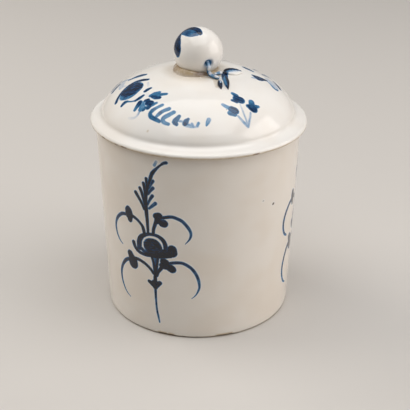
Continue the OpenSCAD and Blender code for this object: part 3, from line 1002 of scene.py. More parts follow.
TENDRILS = (
    Stroke(
        ((-2.6, 34.5), (-3.1, 36.8), (-4.2, 38.1), (-5.3, 38.9), (-6.8, 39.5)),
        (0.46, 0.44, 0.38, 0.38, 0.4),
    ),
    Stroke(((-8.3, 40.7), (-8.1, 39.5)), (1.3, 1.5)),
    Stroke(((-8.4, 41.4), (-8.3, 40.9)), (0.8, 0.9)),
    Stroke(((-7.9, 38.6), (-7.9, 37.9)), (1, 0.8)),
    Stroke(
        (
            (-9.4, 39.2), (-11.2, 38.7), (-12.8, 37.5), (-14.2, 35.8),
            (-15, 33.5), (-14.8, 31.2), (-13.7, 29.2), (-12, 28),
        ),
        (0.42, 0.44, 0.42, 0.38, 0.36, 0.32, 0.26, 0.12), (0.9, 0.66),
    ),
    Stroke(((0.4, 35.3), (0.6, 37), (1.1, 38.5), (1.6, 40)), (0.38, 0.38, 0.42, 0.5)),
    Stroke(((1.7, 41.5), (2.4, 41.7)), (1, 1.05)),
    Stroke(((2.1, 40.8), (1.7, 39.7)), (1, 0.7)),
    Stroke(((3.5, 39.5), (3.9, 39.5)), (1.15, 1.2)),
    Stroke(
        (
            (3, 41.1), (4.4, 41.6), (6.5, 42), (8.7, 41.3), (9.9, 40.4),
            (11.3, 38.5), (11.9, 36.8), (11.5, 35), (10.2, 33.3),
        ),
        (0.42, 0.4, 0.42, 0.42, 0.4, 0.36, 0.3, 0.2, 0.08), (0.95, 0.66),
    ),
    Stroke(
        ((0, 21.6), (-1, 22.9), (-2.4, 24), (-4, 24.7), (-5.4, 25), (-6.8, 24.9)),
        (0.38, 0.38, 0.4, 0.4, 0.44, 0.5),
    ),
    Stroke(((-8.7, 26), (-8.2, 25)), (1, 1.25)),
    Stroke(((-7.7, 23.8), (-7.5, 22.9)), (1.75, 1.7)),
    Stroke(
        (
            (-9.2, 23.9), (-10.7, 23), (-12.1, 21.4), (-13.1, 19.6), (-13.7, 17.5),
            (-13.6, 15), (-12.7, 12.6), (-11.4, 11), (-9.8, 10),
        ),
        (0.46, 0.48, 0.42, 0.4, 0.36, 0.32, 0.26, 0.2, 0.1), (0.95, 0.6),
    ),
    Stroke(((1.1, 21.1), (1.6, 22.5), (2.5, 23.9)), (0.36, 0.4, 0.5)),
    Stroke(((3.5, 26.5), (4, 26.1)), (1.12, 1.2)),
    Stroke(((3.1, 25), (4.6, 25)), (1, 1.1)),
    Stroke(((5.5, 24.6), (6.1, 24.2)), (1.2, 1.15)),
    Stroke(
        (
            (4.9, 26), (6.1, 26.4), (7.7, 26.7), (9.2, 26.7), (10.6, 26.1), (12.1, 24.9),
            (13.4, 22.9), (14.2, 20.5), (14.3, 18.2), (13.4, 15.9), (12, 14.4),
        ),
        (0.38, 0.4, 0.4, 0.4, 0.4, 0.38, 0.36, 0.3, 0.24, 0.16, 0.08), (0.95, 0.6),
    ),
)
WALL_SPRIG = PLUME + FLOWER + STEM + TENDRILS
PAINT_R = 30  # radius that turns a sprig's millimetres into bearing


class Sprig(NamedTuple):
    """A copy of the wall's sprig: its bearing, and in millimetres its rise and how much
    broader each half of its strokes is.
    """

    bearing: float
    rise: float
    broader: float


WALL_SPRIGS = (Sprig(-26.7, 0, 0), Sprig(88.3, -0.6, 0.1), Sprig(211, 0.3, 0.03))


# Iron specks on the wall, in millimetres round from the front and above the table
WALL_SPECKS = (
    Stroke(((20.2, 44.5), (20.4, 44.5)), 0.2, 0.4),
    Stroke(((24.5, 42.1), (24.7, 42.2)), 0.28, (0.95, 0.9)),
    Stroke(((74, 30), (74.2, 30.1)), (0.3, 0.24), 0.9),
    Stroke(((-58, 18), (-57.8, 18)), 0.22, 0.8),
    Stroke(((-71, 49), (-70.8, 49.1)), (0.26, 0.2), 0.8),
)

# The lid's paintings, in millimetres along the skin from the middle of the crown, with the
# front at -Y
LID_FLOWER = (
    Stroke(((-20.9, -8.4), (-20.3, -8)), (3.7, 3.6), (0.74, 0.8)),
    Stroke(((-20.9, -7.7), (-19.8, -7.9)), 3.2, 1.06),
    Stroke(
        (
            (-25.9, -10), (-25.3, -8.5), (-24.4, -7), (-23.1, -5.6),
            (-21.3, -4.5), (-19.2, -4), (-17.4, -4.3), (-15.2, -5.2),
        ),
        (0.5, 0.46, 0.45, 0.5, 0.55, 0.6, 0.7, 0.48), (0.98, 1.04),
    ),
    Stroke(((-15.1, -7.3), (-14.9, -9.6)), 0.32, (0.18, 0.14)),
    Stroke(((-15.8, -11.9), (-15.1, -11.4), (-14.2, -11.1)), (0.5, 0.58, 0.32), 1),
    Stroke(
        ((-21.6, 0.4), (-20.2, 0.3), (-18.9, 0.2), (-17.6, -0.1), (-16.2, -0.6)),
        (0.3, 0.55, 0.8, 0.82, 0.55), (0.8, 0.98),
    ),
    Stroke(((-24.3, -2.5), (-24, 0.1), (-23.4, 2.6)), (0.8, 1.1, 1), (0.24, 0.18)),
    Stroke(((-23.9, -2.2), (-22.3, -3.6)), (0.55, 0.4), (0.2, 0.16)),
    Stroke(((-24.2, 2.9), (-22.6, 1.9), (-21.4, 0.9)), (0.2, 0.22, 0.24), (0.4, 0.45)),
    Stroke(((-27.6, -0.6), (-26.7, 0.6), (-25.2, 1.9)), (0.5, 0.62, 0.5), (0.85, 0.9)),
    Stroke(((-28.2, 2.4), (-26.8, 4), (-25, 5.4)), (0.5, 0.62, 0.5), (0.9, 0.85)),
    Stroke(((-23.7, -13.4), (-22.8, -12.9), (-21.9, -13.1)), (0.48, 0.66, 0.4), (0.92, 0.9)),
    Stroke(((-22, -13), (-20.4, -14.1), (-18.8, -14.6)), (0.26, 0.2, 0.26), 0.7),
    Stroke(((-19, -14.6), (-17.8, -14.3), (-16.5, -13.7)), (0.34, 0.56, 0.38), 0.92),
    Stroke(((-15.9, -13.1), (-14.8, -14.5)), 0.7, 0.1),
)
LID_LEAVES = (
    Stroke(((-13, -15.5), (-12.2, -15.6)), 0.95, (0.68, 0.66)),
    Stroke(((-14.2, -14.9), (-12.9, -14.7), (-11.6, -14.4)), (0.5, 0.9, 0.55), (0.7, 0.66)),
    Stroke(((-12.1, -15.6), (-10.7, -15.6), (-9.4, -15.8)), (0.75, 0.55, 0.42), (0.62, 0.74)),
    Stroke(((-13.6, -15.4), (-12.5, -16.3), (-11.5, -16.8)), (0.55, 0.75, 0.5), 0.92),
    Stroke(((-16.8, -17.1), (-17, -18.4), (-17.4, -19.1)), (0.85, 0.95, 0.8), (0.5, 0.56)),
    Stroke(
        ((-17.6, -16.2), (-18.1, -17), (-18.8, -17.7), (-19.3, -18.3)),
        (0.7, 0.78, 0.62, 0.48), (1, 0.62),
    ),
    Stroke(((-16.6, -19.6), (-16, -19.2)), 0.52, (0.8, 0.78)),
    Stroke(((-15.8, -17.6), (-15.9, -18.9)), 0.45, 0.24),
    Stroke(((-15.8, -16.4), (-15.1, -16.5)), (0.48, 0.58), (0.95, 0.98)),
    Stroke(((-15, -17.6), (-14.2, -18.2)), 0.92, 1),
    Stroke(((-14.6, -19), (-15.1, -19.6)), (0.8, 0.56), (0.9, 0.88)),
    Stroke(((-13.6, -18.9), (-12.4, -18.7)), (0.62, 0.36), (0.76, 0.52)),
    Stroke(
        ((-18, -19.8), (-18.5, -20.6), (-19.4, -21), (-20.6, -20.7), (-21.7, -19.9)),
        (0.36, 0.34, 0.32, 0.4, 0.26), (0.3, 0.1),
    ),
)
LID_FERN = (
    Stroke(
        (
            (-10.7, -20.1), (-12.2, -20.5), (-13.5, -21), (-14.5, -21.9),
            (-14.3, -23.1), (-13.3, -24.1), (-11.7, -25.5),
        ),
        (0.48, 0.46, 0.6, 0.54, 0.58, 0.54, 0.38), (0.62, 0.78),
    ),
    Stroke(((-13.3, -20.9), (-12.9, -20.9)), 0.42, 0.85),
    Stroke(
        ((-8.7, -22), (-10.3, -22.3), (-11.6, -22.9), (-12.7, -23.7)),
        (0.58, 0.52, 0.6, 0.4), (0.66, 0.58),
    ),
    Stroke(((-11.6, -22.9), (-11.1, -22.7)), 0.42, 0.8),
    Stroke(
        ((-7.3, -23.5), (-8.8, -24.1), (-10.2, -24.6), (-10.7, -25.4), (-10.2, -26.3), (-9, -27)),
        (0.58, 0.6, 0.68, 0.6, 0.48, 0.38), (0.6, 0.62),
    ),
    Stroke(
        ((-5.7, -25.1), (-6.3, -25.8), (-7, -26.6), (-6.5, -27.5)),
        (0.48, 0.72, 0.86, 0.42), (0.7, 0.88),
    ),
    Stroke(((-6, -26.5), (-4.8, -26.8)), 0.3, 0.34),
    Stroke(((-3, -26.3), (-3.6, -26.9), (-3.9, -27.5)), (0.38, 0.72, 0.74), (0.72, 1)),
    Stroke(((-3.7, -28.3), (-1.9, -28.7), (0, -28.6)), 0.28, 0.3),
    Stroke(((-3, -28), (-2.4, -28.2)), 0.38, (0.42, 0.4)),
    Stroke(((-1.9, -27.8), (-1.5, -28.6)), 0.38, (0.36, 0.38)),
    Stroke(((0.1, -27.6), (-0.3, -28.5)), (0.36, 0.34), (0.52, 0.46)),
    Stroke(((3.2, -26.4), (2.9, -27.2), (2.5, -28.2)), (0.62, 0.52, 0.22), (0.42, 0.56)),
)
LID_BUDS = (
    Stroke(
        ((12.5, -19.1), (13.2, -20.8), (14, -22.6), (14.8, -24.2), (15.5, -25.7)),
        (0.2, 0.24, 0.26, 0.3, 0.32), (0.2, 0.32),
    ),
    Stroke(
        ((12, -23.5), (12.9, -24.2), (14, -25), (15.4, -25.8)),
        (0.3, 0.36, 0.44, 0.38), (0.28, 0.36),
    ),
    Stroke(
        ((15.9, -20.9), (15.8, -22.8), (15.6, -24.5), (15.5, -25.8)),
        (0.3, 0.3, 0.32, 0.3), (0.26, 0.34),
    ),
    Stroke(((10.2, -15.1), (11.2, -15.8)), (0.48, 0.72), (0.7, 0.86)),
    Stroke(((10.1, -18.2), (11.3, -18.2)), (0.38, 0.68), (0.76, 0.95)),
    Stroke(((11.5, -17.1), (12.6, -17.3)), (1.2, 1.25), 0.94),
    Stroke(((9.5, -23.2), (10.9, -23.2)), 0.72, (0.68, 0.72)),
    Stroke(((7.3, -20.6), (8.2, -21.1), (9.2, -21.5)), (0.48, 0.56, 0.66), (0.36, 0.62)),
    Stroke(((9.9, -21.7), (11, -22)), (1, 1.12), (0.93, 0.97)),
    Stroke(((16, -16.6), (16.2, -17.8)), (0.82, 0.92), (0.66, 0.86)),
    Stroke(((15, -18.8), (15.5, -18.9)), (0.6, 0.62), (0.8, 0.85)),
    Stroke(((17.7, -17.7), (18.3, -17.3)), (0.58, 0.38), (0.8, 0.6)),
    Stroke(((16.1, -18.8), (16.8, -19.1)), (1.22, 1.18), (0.96, 0.98)),
)
LID_SIDE_TOUCHES = (
    Stroke(((16.6, -2.2), (17.6, -1.8)), (0.45, 0.4), 0.32),
    Stroke(
        ((16.9, 0.1), (18.1, -0.1), (19.2, -0.2), (20.2, 0.1), (21.4, 0.6)),
        (0.45, 0.9, 1.2, 0.8, 0.35), (0.95, 1.05),
    ),
    Stroke(((17.6, -0.9), (18.6, -1.5), (19.7, -0.8)), (0.6, 1, 0.6), (0.85, 1)),
    Stroke(((21.7, 2.6), (22.8, 1.4), (23.8, -0.4), (24.6, -1.8)), (0.9, 1.35, 1.5, 1), (0.2, 0.26)),
    Stroke(
        ((21.3, 0.3), (22.5, -1), (23.4, -2.3), (24.3, -3), (24.9, -2.7)),
        (0.2, 0.22, 0.3, 0.5, 0.4), (0.32, 0.74),
    ),
    Stroke(((14.3, 7), (15.5, 5.7), (16.9, 4.7)), (0.6, 0.9, 0.5), (0.85, 0.75)),
    Stroke(((24.4, 4), (25.6, 2.2), (26.3, 0.3)), (0.5, 0.62, 0.4), (0.9, 0.85)),
    Stroke(((20.6, 6), (22.4, 8), (23.2, 10.6)), (0.5, 1.2, 0.4), (0.9, 0.8), 0.3),
    Stroke(((17.8, 9), (19, 11.4), (19, 13.8)), (0.5, 1, 0.4), (0.9, 0.8), 0.3),
    Stroke(((7.8, -3), (7.9, -5.4), (8, -8)), (0.9, 0.9, 0.7), (1.1, 1)),
)
BACK_TURN = 238  # degrees from the left spray to the one behind

# Brown patches on the lid beside the bead and under the leaves
LID_BROWN_PATCHES = (
    Stroke(((5, -8.8), (5.5, -10.4), (5.5, -12.8)), (0.7, 0.9, 0.45), (0.5, 0.4)),
    Stroke(((1.4, -7.5), (3.2, -7.4)), 0.5, (0.5, 0.45)),
    Stroke(((6, -5.6), (7.4, -4)), 0.7, (0.6, 0.5)),
    Stroke(((-15.9, -27.2), (-15.7, -27.1)), 0.24, 0.4),
)

# The fruit's patches, in millimetres along its skin from its top
KNOB_PATCHES = (
    Stroke(((-4.4, -1), (-3, -2.3), (-1.8, -3.2), (-0.6, -3.4)), (0.95, 1.35, 1.45, 1.1), (0.66, 0.72)),
    Stroke(((-2.8, -1.2), (-1.4, -2.4)), 1.2, (0.6, 0.64)),
    Stroke(
        ((-5.4, 0.8), (-4, 0.6), (-2.3, 0), (-0.9, -1.2), (0.1, -2.4), (0.5, -3.5)),
        (0.7, 0.95, 1, 0.95, 0.9, 0.7), (0.95, 1.1),
    ),
    Stroke(
        ((-5.6, 0.4), (-6.8, -0.6), (-7.8, -2), (-8.2, -3.5), (-8.4, -4.9), (-8.5, -5.8)),
        (0.8, 1.5, 1.9, 2.1, 2.1, 1.8), (0.86, 1.2),
    ),
    Stroke(((2.4, 4.8), (4, 5.4), (5.8, 5), (7.4, 3.4)), (0.6, 1.2, 1.3, 0.5), (0.95, 0.7)),
    Stroke(((3, 4), (4.4, 4.4), (5.8, 3.8)), (0.6, 0.9, 0.5), (0.55, 0.6)),
    Stroke(((-4.2, 9), (-3, 10.6), (-1.2, 11.6)), (0.4, 0.9, 0.5), (0.9, 0.75)),
)


def wall_place(m, place):
    """Points of the pot's outside wall for places in a wall painting."""
    bearing, z = place[..., 0] / PAINT_R, place[..., 1]
    taper = (m.lip_r - m.foot_r) / (m.pot_h - m.lip_round - m.foot_edge_r)
    r = m.foot_r + taper * (z - m.foot_edge_r) + wall_stray(m, bearing, z)
    return at(bearing, r, z)


def lid_place(m, place):
    """Points of the dome's skin for places in a lid painting."""
    r_table = np.linspace(0, m.dome_r, 2000)
    run = run_of(np.stack([r_table, dome_z(m, r_table)], -1))
    bearing, away = polar(place)
    r = np.interp(away, run, r_table)
    return at(bearing, r, dome_skin(m, bearing, r))


def knob_place(m, place):
    """Points of the fruit's skin for places in a knob painting."""
    bearing, away = polar(place)
    return ball_point(m, bearing, math.pi / 2 - away / m.knob_r)[0]


class Canvas(NamedTuple):
    """A painted skin: the rule that lays a painting on it, its body, how full the brush was,
    as a factor on the strokes' loads, and the most cobalt that the brush left.
    """

    place_on: Callable
    body: str
    fuller: float = 1.0
    most: float = 1.5


# The plain ones take specks and stains, whose loads are meant as they are written
# The wall's fuller brush darkens its sprigs to near black: partly heavier cobalt, partly painted shade
# of the wall
WALL, PLAIN_WALL = Canvas(wall_place, "pot", 1.12), Canvas(wall_place, "pot")
LID, PLAIN_LID = Canvas(lid_place, "lid", 0.92, 1), Canvas(lid_place, "lid")
KNOB = Canvas(knob_place, "lid", 1.08, 1.02)


def as_drawn(place):
    """The rule that leaves a painting where it was drawn."""
    return place


def turned_about(degrees):
    """A rule that turns a painting about the middle of its map."""
    s, c = math.sin(math.radians(degrees)), math.cos(math.radians(degrees))

    def turn(place):
        x, y = place[..., 0], place[..., 1]
        return np.stack([c * x - s * y, s * x + c * y], -1)
    return turn


def round_wall(sprig, seed):
    """A rule that takes the wall's sprig round to a copy's place, with a sway from the seed."""
    draw = np.random.default_rng(seed)
    sway, phase = draw.uniform((0.1, 0), (0.3, TURN)) * (seed > 0)

    def move(place):
        x, y = place[..., 0], place[..., 1]
        x = x + math.radians(sprig.bearing) * PAINT_R + sway * np.sin(y / 9 + phase)
        return np.stack([x, y + sprig.rise], -1)
    return move


def broadened(strokes, more):
    """The strokes with some millimetres more to each half of their width."""
    return tuple(stroke._replace(half=np.add(stroke.half, more)) for stroke in strokes)


class Painting(NamedTuple):
    """Strokes that make one piece of film on a canvas, the seed of their bristles, the rule
    that moves them from where they were drawn, and the fact that takes their loads.
    """

    name: str
    canvas: Canvas
    strokes: tuple
    seed: int
    move: Callable = as_drawn
    fact: str = "cobalt"


FRONT_SPRAY = LID_FLOWER + LID_LEAVES + LID_FERN
BACK_SPRAY = LID_FLOWER + LID_LEAVES + LID_FERN[:8]  # without the fern's last fronds
PAINTINGS = (
    *(
        Painting(
            f"wall_sprig_{n + 1}",
            WALL,
            broadened(WALL_SPRIG, sprig.broader),
            100 * n,
            round_wall(sprig, n),
        )
        for n, sprig in enumerate(WALL_SPRIGS)
    ),
    Painting("wall_specks", PLAIN_WALL, WALL_SPECKS, 400, fact="iron"),
    Painting("lid_spray_left", LID, FRONT_SPRAY, 500),
    Painting("lid_buds", LID, LID_BUDS, 560),
    Painting("lid_side_touches", LID, LID_SIDE_TOUCHES, 620),
    Painting("lid_spray_back", LID, BACK_SPRAY, 680, turned_about(BACK_TURN)),
    Painting("knob_patches", KNOB, KNOB_PATCHES, 900),
    Painting("lid_brown_patches", PLAIN_LID, LID_BROWN_PATCHES, 950, fact="stain"),
)


EDGE_SHARES = np.array([0, 0.2, 0.4, 0.55, 0.7, 0.85, 1])  # points across a film's sloped rim
CAP_RINGS = 9  # in each round end of a stroke
WAY_STEPS = 10  # from one point of a stroke's way to the next, before they are respaced
STROKE_STEP = 0.35  # between the rings of a stroke
FILM_DEPTH = 4  # how deep a film's underside lies, in dips
BRISTLE_SHIFT = 7.0  # between the bristle marks of two strokes
SPILL = 0.75  # share of the bleed that lies outside a stroke's half width
HALO = 0.05  # share of a stroke's cobalt that fumed into the glaze around it


def along_stroke(values, share):
    """The values of one stroke, evenly shared from start to end, at shares of its length."""
    values = np.ravel(values)
    return np.interp(share, np.linspace(0, 1, len(values)), values)


def film_rings(m, stroke):
    """The rings of a stroke's film, from one half-round end to the other.

    Each has its middle and the way across it, its share of the stroke's length, the stroke's
    half width and bleed there, and the film's half width before an end squeezes it.
    """
    middle = respaced(curve_through(stroke.way, WAY_STEPS), STROKE_STEP)
    run = run_of(middle)
    share = run / run[-1]
    half = along_stroke(stroke.half, share)
    along = unit(np.gradient(middle, axis=0))
    bleed = np.minimum(m.bleed, 1.2 * half)
    wide = half + SPILL * bleed + m.margin
    a = np.linspace(0, math.pi / 2, CAP_RINGS + 1)[1:-1]
    ends = [middle[0] - wide[0] * along[0], middle[-1] + wide[-1] * along[-1]]
    head = middle[0] - wide[0] * np.cos(a)[:, None] * along[0]
    tail = middle[-1] + wide[-1] * np.cos(a[::-1])[:, None] * along[-1]
    middle = np.concatenate([head, middle, tail])
    squeeze = np.concatenate([np.sin(a), np.ones(len(run)), np.sin(a[::-1])])
    first, last = np.zeros(len(a), int), np.full(len(a), len(run) - 1)
    rows = np.concatenate([first, np.arange(len(run)), last])
    side = np.stack([-along[:, 1], along[:, 0]], -1)
    return SimpleNamespace(
        ends=ends,
        middle=middle,
        side=side[rows],
        share=share[rows],
        half=half[rows, None],
        bleed=bleed[rows, None],
        full=wide[rows, None],
        squeeze=squeeze[:, None],
    )


def film_across(m, rings):
    """How far across its stroke each point of each ring lies, and how far in from the rim."""
    wide = rings.full * rings.squeeze
    rim = np.minimum(m.margin + rings.bleed, 0.85 * wide)
    inner = (wide - rim) * np.array([0.5, 1])
    depth = np.concatenate([rim * EDGE_SHARES, rim + inner], 1)
    depth = np.concatenate([depth, depth[:, -2::-1]], 1)
    sign = np.sign(np.arange(depth.shape[1]) - depth.shape[1] // 2)
    offset = sign * (wide - depth)
    beyond = rings.full * np.sqrt(1 - rings.squeeze**2)
    return offset, rings.full - np.hypot(beyond, offset)


def stroke_film(m, painting, index):
    """One stroke as a closed film: a low mound carried along the stroke's middle line.

    Inward from its rim the film first rises out of the glaze with only a faint halo, and then
    takes its full height and colour within the bleed, so that the darker of two strokes that
    cross lies on top. Its ends are half rounds.
    """
    stroke, canvas = painting.strokes[index], painting.canvas
    rings = film_rings(m, stroke)
    offset, depth = film_across(m, rings)
    load = canvas.fuller * along_stroke(stroke.load, rings.share)[:, None]
    load = np.minimum(load, canvas.most)
    body = ease((depth - m.margin) / rings.bleed)
    core = ease((depth - m.margin - rings.bleed) / (0.7 * rings.half))
    fringe = ease(depth / m.margin)
    cobalt = load * (HALO * fringe + (1 - HALO) * body * (1 - stroke.hollow * core))
    height = (m.dip + m.settle) * fringe - m.dip + (m.wash_lift + m.ink_lift * load) * body
    under = offset[:, ::-5]
    across = np.concatenate([offset, under], 1)
    height = np.concatenate([height, np.full(under.shape, -FILM_DEPTH * m.dip)], 1)
    cobalt = np.concatenate([cobalt, np.zeros(under.shape)], 1)
    flat = rings.middle[:, None] + across[..., None] * rings.side[:, None]
    points, normals = on_skin(m, np.concatenate([flat.reshape(-1, 2), rings.ends]), painting)
    height = np.concatenate([height.ravel(), [-m.dip, -m.dip]])
    distance = run_of(rings.middle)[:, None] + 0 * across
    shift = np.full(across.shape, BRISTLE_SHIFT * (painting.seed + index))
    brush = np.stack([distance, across, shift], -1).reshape(-1, 3)
    brush = np.concatenate([brush, np.zeros((2, 3))])
    points = points + normals * height[:, None]
    return points, normals, np.append(cobalt, [0, 0]), brush, skin_faces(*across.shape)


def on_skin(m, flat, painting):
    """Points and outward normals of a painted skin, by small steps both ways."""

    def place(*step):
        return painting.canvas.place_on(m, painting.move(flat + step))

    step = 0.02
    right = place(step, 0) - place(-step, 0)
    up = place(0, step) - place(0, -step)
    return place(0, 0), unit(np.cross(right, up))


def make_painting(m, painting, material):
    """All strokes of one painting as one piece of film. Its shading follows the skin below."""
    films = [stroke_film(m, painting, n) for n in range(len(painting.strokes))]
    columns = zip(*(film[:4] for film in films))
    points, normals, load, bristles = (np.concatenate(column) for column in columns)
    start = np.cumsum([0] + [len(film[0]) for film in films[:-1]])
    fours, threes = (
        np.concatenate([film[4][kind] + n for film, n in zip(films, start)]) for kind in (0, 1)
    )
    facts = {painting.fact: load, "brush": bristles}
    return make_piece(painting.name, points, fours, threes, facts, material, normals)


# Materials

SPECK_SPACING = 8.5  # millimetres between the places that may hold a speck
SPECK_SHARE = 0.16  # share of those places that do
SPECK_SMALL, SPECK_BIG = 0.14, 0.36
CLOUD_SIZE, BLOTCH_SIZE, SAND_SIZE = 16, 1.9, 0.5
BRISTLE_SIZE, PUDDLE_SIZE = 1.1, 1.4
GLAZE_ROUGHNESS = 0.1
PEEL_SIZE, PEEL_DEPTH = 1.7, 0.01  # orange peel in the glaze, in millimetres
INK_STOPS = (0.14, 0.45, 0.76, 0.98)  # loads at which cobalt is pale, mid, deep and black
BRISTLE_STRETCH = (0.5, 3.2, 1)  # scales of the streaks along, across and between strokes
GRIT_SIZE, GRIT_DEPTH = 0.4, 0.06  # sand grains in bare biscuit, drawn coarse enough to show


def add(tree, kind, sockets=(), **settings):
    """Adds a node with its settings, and gives its sockets their values or links."""
    node = tree.nodes.new(kind)
    for name, value in settings.items():
        setattr(node, name, value)
    for name, value in dict(sockets).items():
        if isinstance(value, bpy.types.NodeSocket):
            tree.links.new(value, node.inputs[name])
        else:
            node.inputs[name].default_value = value
    return node


def rgba(value):
    """A linear colour with full alpha."""
    return (*value, 1)


def fresh_tree(owner):
    """The emptied node tree of a material or a world."""
    owner.use_nodes = True
    owner.node_tree.nodes.clear()
    return owner.node_tree


def math_of(tree, operation, a, b):
    """What an operation makes of two numbers or sockets."""
    return add(tree, "ShaderNodeMath", {0: a, 1: b}, operation=operation).outputs[0]


def s_curve(tree, value, low, high, to_low=0.0, to_high=1.0):
    """to_low where the value is at most low, to_high where it is at least high, smooth between."""
    sockets = {"Value": value, "From Min": low, "From Max": high}
    sockets |= {"To Min": to_low, "To Max": to_high}
    return add(tree, "ShaderNodeMapRange", sockets, interpolation_type="SMOOTHSTEP").outputs[0]


def times(tree, a, b):
    """The product of two numbers or sockets."""
    return math_of(tree, "MULTIPLY", a, b)


def noise(tree, vector, size, detail=2.0):
    """A soft noise from 0 to 1, whose lumps lie about size apart."""
    sockets = {"Vector": vector, "Scale": 1 / size, "Detail": detail, "Roughness": 0.55}
    return add(tree, "ShaderNodeTexNoise", sockets).outputs["Fac"]


def point_fact(tree, name, output="Fac"):
    """A fact that the piece's points carry."""
    return add(tree, "ShaderNodeAttribute", attribute_name=name).outputs[output]


def mixed(tree, factor, a, b):
    """A mix of two colours, each of them linear values or a socket."""
    a, b = (x if isinstance(x, bpy.types.NodeSocket) else rgba(x) for x in (a, b))
    return add(tree, "ShaderNodeMix", {0: factor, 6: a, 7: b}, data_type="RGBA").outputs[2]


def specks(tree, mm):
    """Where iron specks lie: in a few cells of a pattern, each a dot of its own size."""
    sockets = {"Vector": mm, "Scale": 1 / SPECK_SPACING}
    cells = add(tree, "ShaderNodeTexVoronoi", sockets, feature="F1")
    near = times(tree, cells.outputs["Distance"], SPECK_SPACING)
    pick = add(tree, "ShaderNodeSeparateColor", {"Color": cells.outputs["Color"]})
    few = math_of(tree, "GREATER_THAN", pick.outputs[0], 1 - SPECK_SHARE)
    size = s_curve(tree, pick.outputs[1], 0, 1, SPECK_SMALL, SPECK_BIG)
    dot = s_curve(tree, math_of(tree, "DIVIDE", near, size), 0.3, 1, 0.7, 0)
    return times(tree, dot, few)


def clay_colour(tree, mm, finish, cloud, blotch, bare):
    """The glazed body: cloudy white, pools, stains, painted shade and specks, and biscuit where it is
    bare.
    """
    warmth = s_curve(tree, cloud, 0.35, 0.7, 0, 0.35)
    warmth = math_of(tree, "ADD", warmth, point_fact(tree, "warm"))
    body = mixed(tree, warmth, finish.glaze, finish.warm_glaze)
    # The pool, stain and dark facts carry real pooling and stains, and also painted shade under the
    # brim, on its underside, at the fruit's foot, in the dimple and along the bead's lower edge
    pool = times(tree, point_fact(tree, "pool"), 0.6)
    body = mixed(tree, pool, body, finish.pooled_glaze)
    stain = times(tree, point_fact(tree, "stain"), s_curve(tree, blotch, 0.25, 0.65, 0.6, 1))
    stained = mixed(tree, point_fact(tree, "dark"), finish.slip, finish.dark_slip)
    body = mixed(tree, stain, body, stained)
    iron = math_of(tree, "MAXIMUM", specks(tree, mm), point_fact(tree, "iron"))
    body = mixed(tree, iron, body, finish.speck)
    sand = mixed(tree, noise(tree, mm, SAND_SIZE, 3), finish.biscuit, finish.slip)
    return mixed(tree, bare, body, sand)


def cobalt_over(tree, mm, finish, body, ink_skip):
    """Cobalt on the body, streaked by bristles and puddles, from pale wash to near black."""
    sockets = {"Vector": point_fact(tree, "brush", "Vector"), "Scale": BRISTLE_STRETCH}
    streak = add(tree, "ShaderNodeMapping", sockets).outputs[0]
    bristle = times(tree, noise(tree, streak, BRISTLE_SIZE, 3), 0.6)
    puddle = times(tree, noise(tree, mm, PUDDLE_SIZE), 0.4)
    wet = math_of(tree, "ADD", bristle, puddle)
    thin = s_curve(tree, wet, 0.36, 0.64, 1 - ink_skip, 1.06)
    cobalt = times(tree, point_fact(tree, "cobalt"), thin)
    ink = add(tree, "ShaderNodeValToRGB", {"Fac": cobalt})
    ramp = ink.color_ramp.elements
    while len(ramp) < len(INK_STOPS):
        ramp.new(0.5)
    inks = (finish.pale_cobalt, finish.mid_cobalt, finish.deep_cobalt, finish.black_cobalt)
    for element, load, value in zip(ramp, INK_STOPS, inks):
        element.position = load
        element.color = rgba(value)
    return mixed(tree, s_curve(tree, cobalt, 0.0, 0.32), body, ink.outputs["Color"])


def relief(tree, mm, bare):
    """The glaze's faint orange peel, and the sand's grains where the body is bare."""
    peel = times(tree, noise(tree, mm, PEEL_SIZE), PEEL_DEPTH)
    grit = times(tree, times(tree, noise(tree, mm, GRIT_SIZE, 3), bare), GRIT_DEPTH)
    height = math_of(tree, "ADD", peel, grit)
    sockets = {"Height": height, "Distance": MM, "Strength": 1.0}
    return add(tree, "ShaderNodeBump", sockets).outputs[0]


def glaze_material(name, finish, ink_skip):
    """Soft-paste porcelain, dipped in a clear lead glaze and fired over brushed cobalt.

    To the eye it is a warm white with slow cloudy shifts, a liquid gloss with a faint orange
    peel, iron specks, a green-grey tint where the glaze pooled, and cobalt that sinks from
    pale wash to near black. Bare places show the sandy biscuit. ink_skip is how strongly the
    brush streaks.
    """
    material = bpy.data.materials.new(name)
    tree = fresh_tree(material)
    place = add(tree, "ShaderNodeTexCoord").outputs["Object"]
    mm = add(tree, "ShaderNodeMapping", {"Vector": place, "Scale": (1 / MM,) * 3}).outputs[0]
    cloud, blotch = noise(tree, mm, CLOUD_SIZE), noise(tree, mm, BLOTCH_SIZE, 3)
    bare = times(tree, point_fact(tree, "bare"), s_curve(tree, blotch, 0.2, 0.45, 0.7, 1))
    body = clay_colour(tree, mm, finish, cloud, blotch, bare)
    gloss = s_curve(tree, cloud, 0.3, 0.7, GLAZE_ROUGHNESS, 1.6 * GLAZE_ROUGHNESS)
    sockets = {
        "Base Color": cobalt_over(tree, mm, finish, body, ink_skip),
        "Roughness": add(tree, "ShaderNodeMix", {0: bare, 2: gloss, 3: 0.82}).outputs[0],
        "Normal": relief(tree, mm, bare),
        "IOR": 1.5,
    }
    shader = add(tree, "ShaderNodeBsdfPrincipled", sockets)
    add(tree, "ShaderNodeOutputMaterial", {"Surface": shader.outputs[0]})
    return material


def finish_of(name, ink_skip=0.25):
    """The named material, made once."""
    found = bpy.data.materials.get(name)
    return found or glaze_material(name, bpy.context.scene.pot_finish, ink_skip)


PORCELAIN = "dipped_soft_paste_porcelain"
BRUSHED = "brushed_underglaze_cobalt"
MOULDED = "moulded_leaf_cobalt"
SLIP = "stained_luting_slip"


# The steps

def on_body(piece, body, slot, *nodes):
    """Puts a finished piece on its body and hides the nodes that it stands for. Its slot is not used.
    """
    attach(piece, body)
    if nodes:
        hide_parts(*nodes)


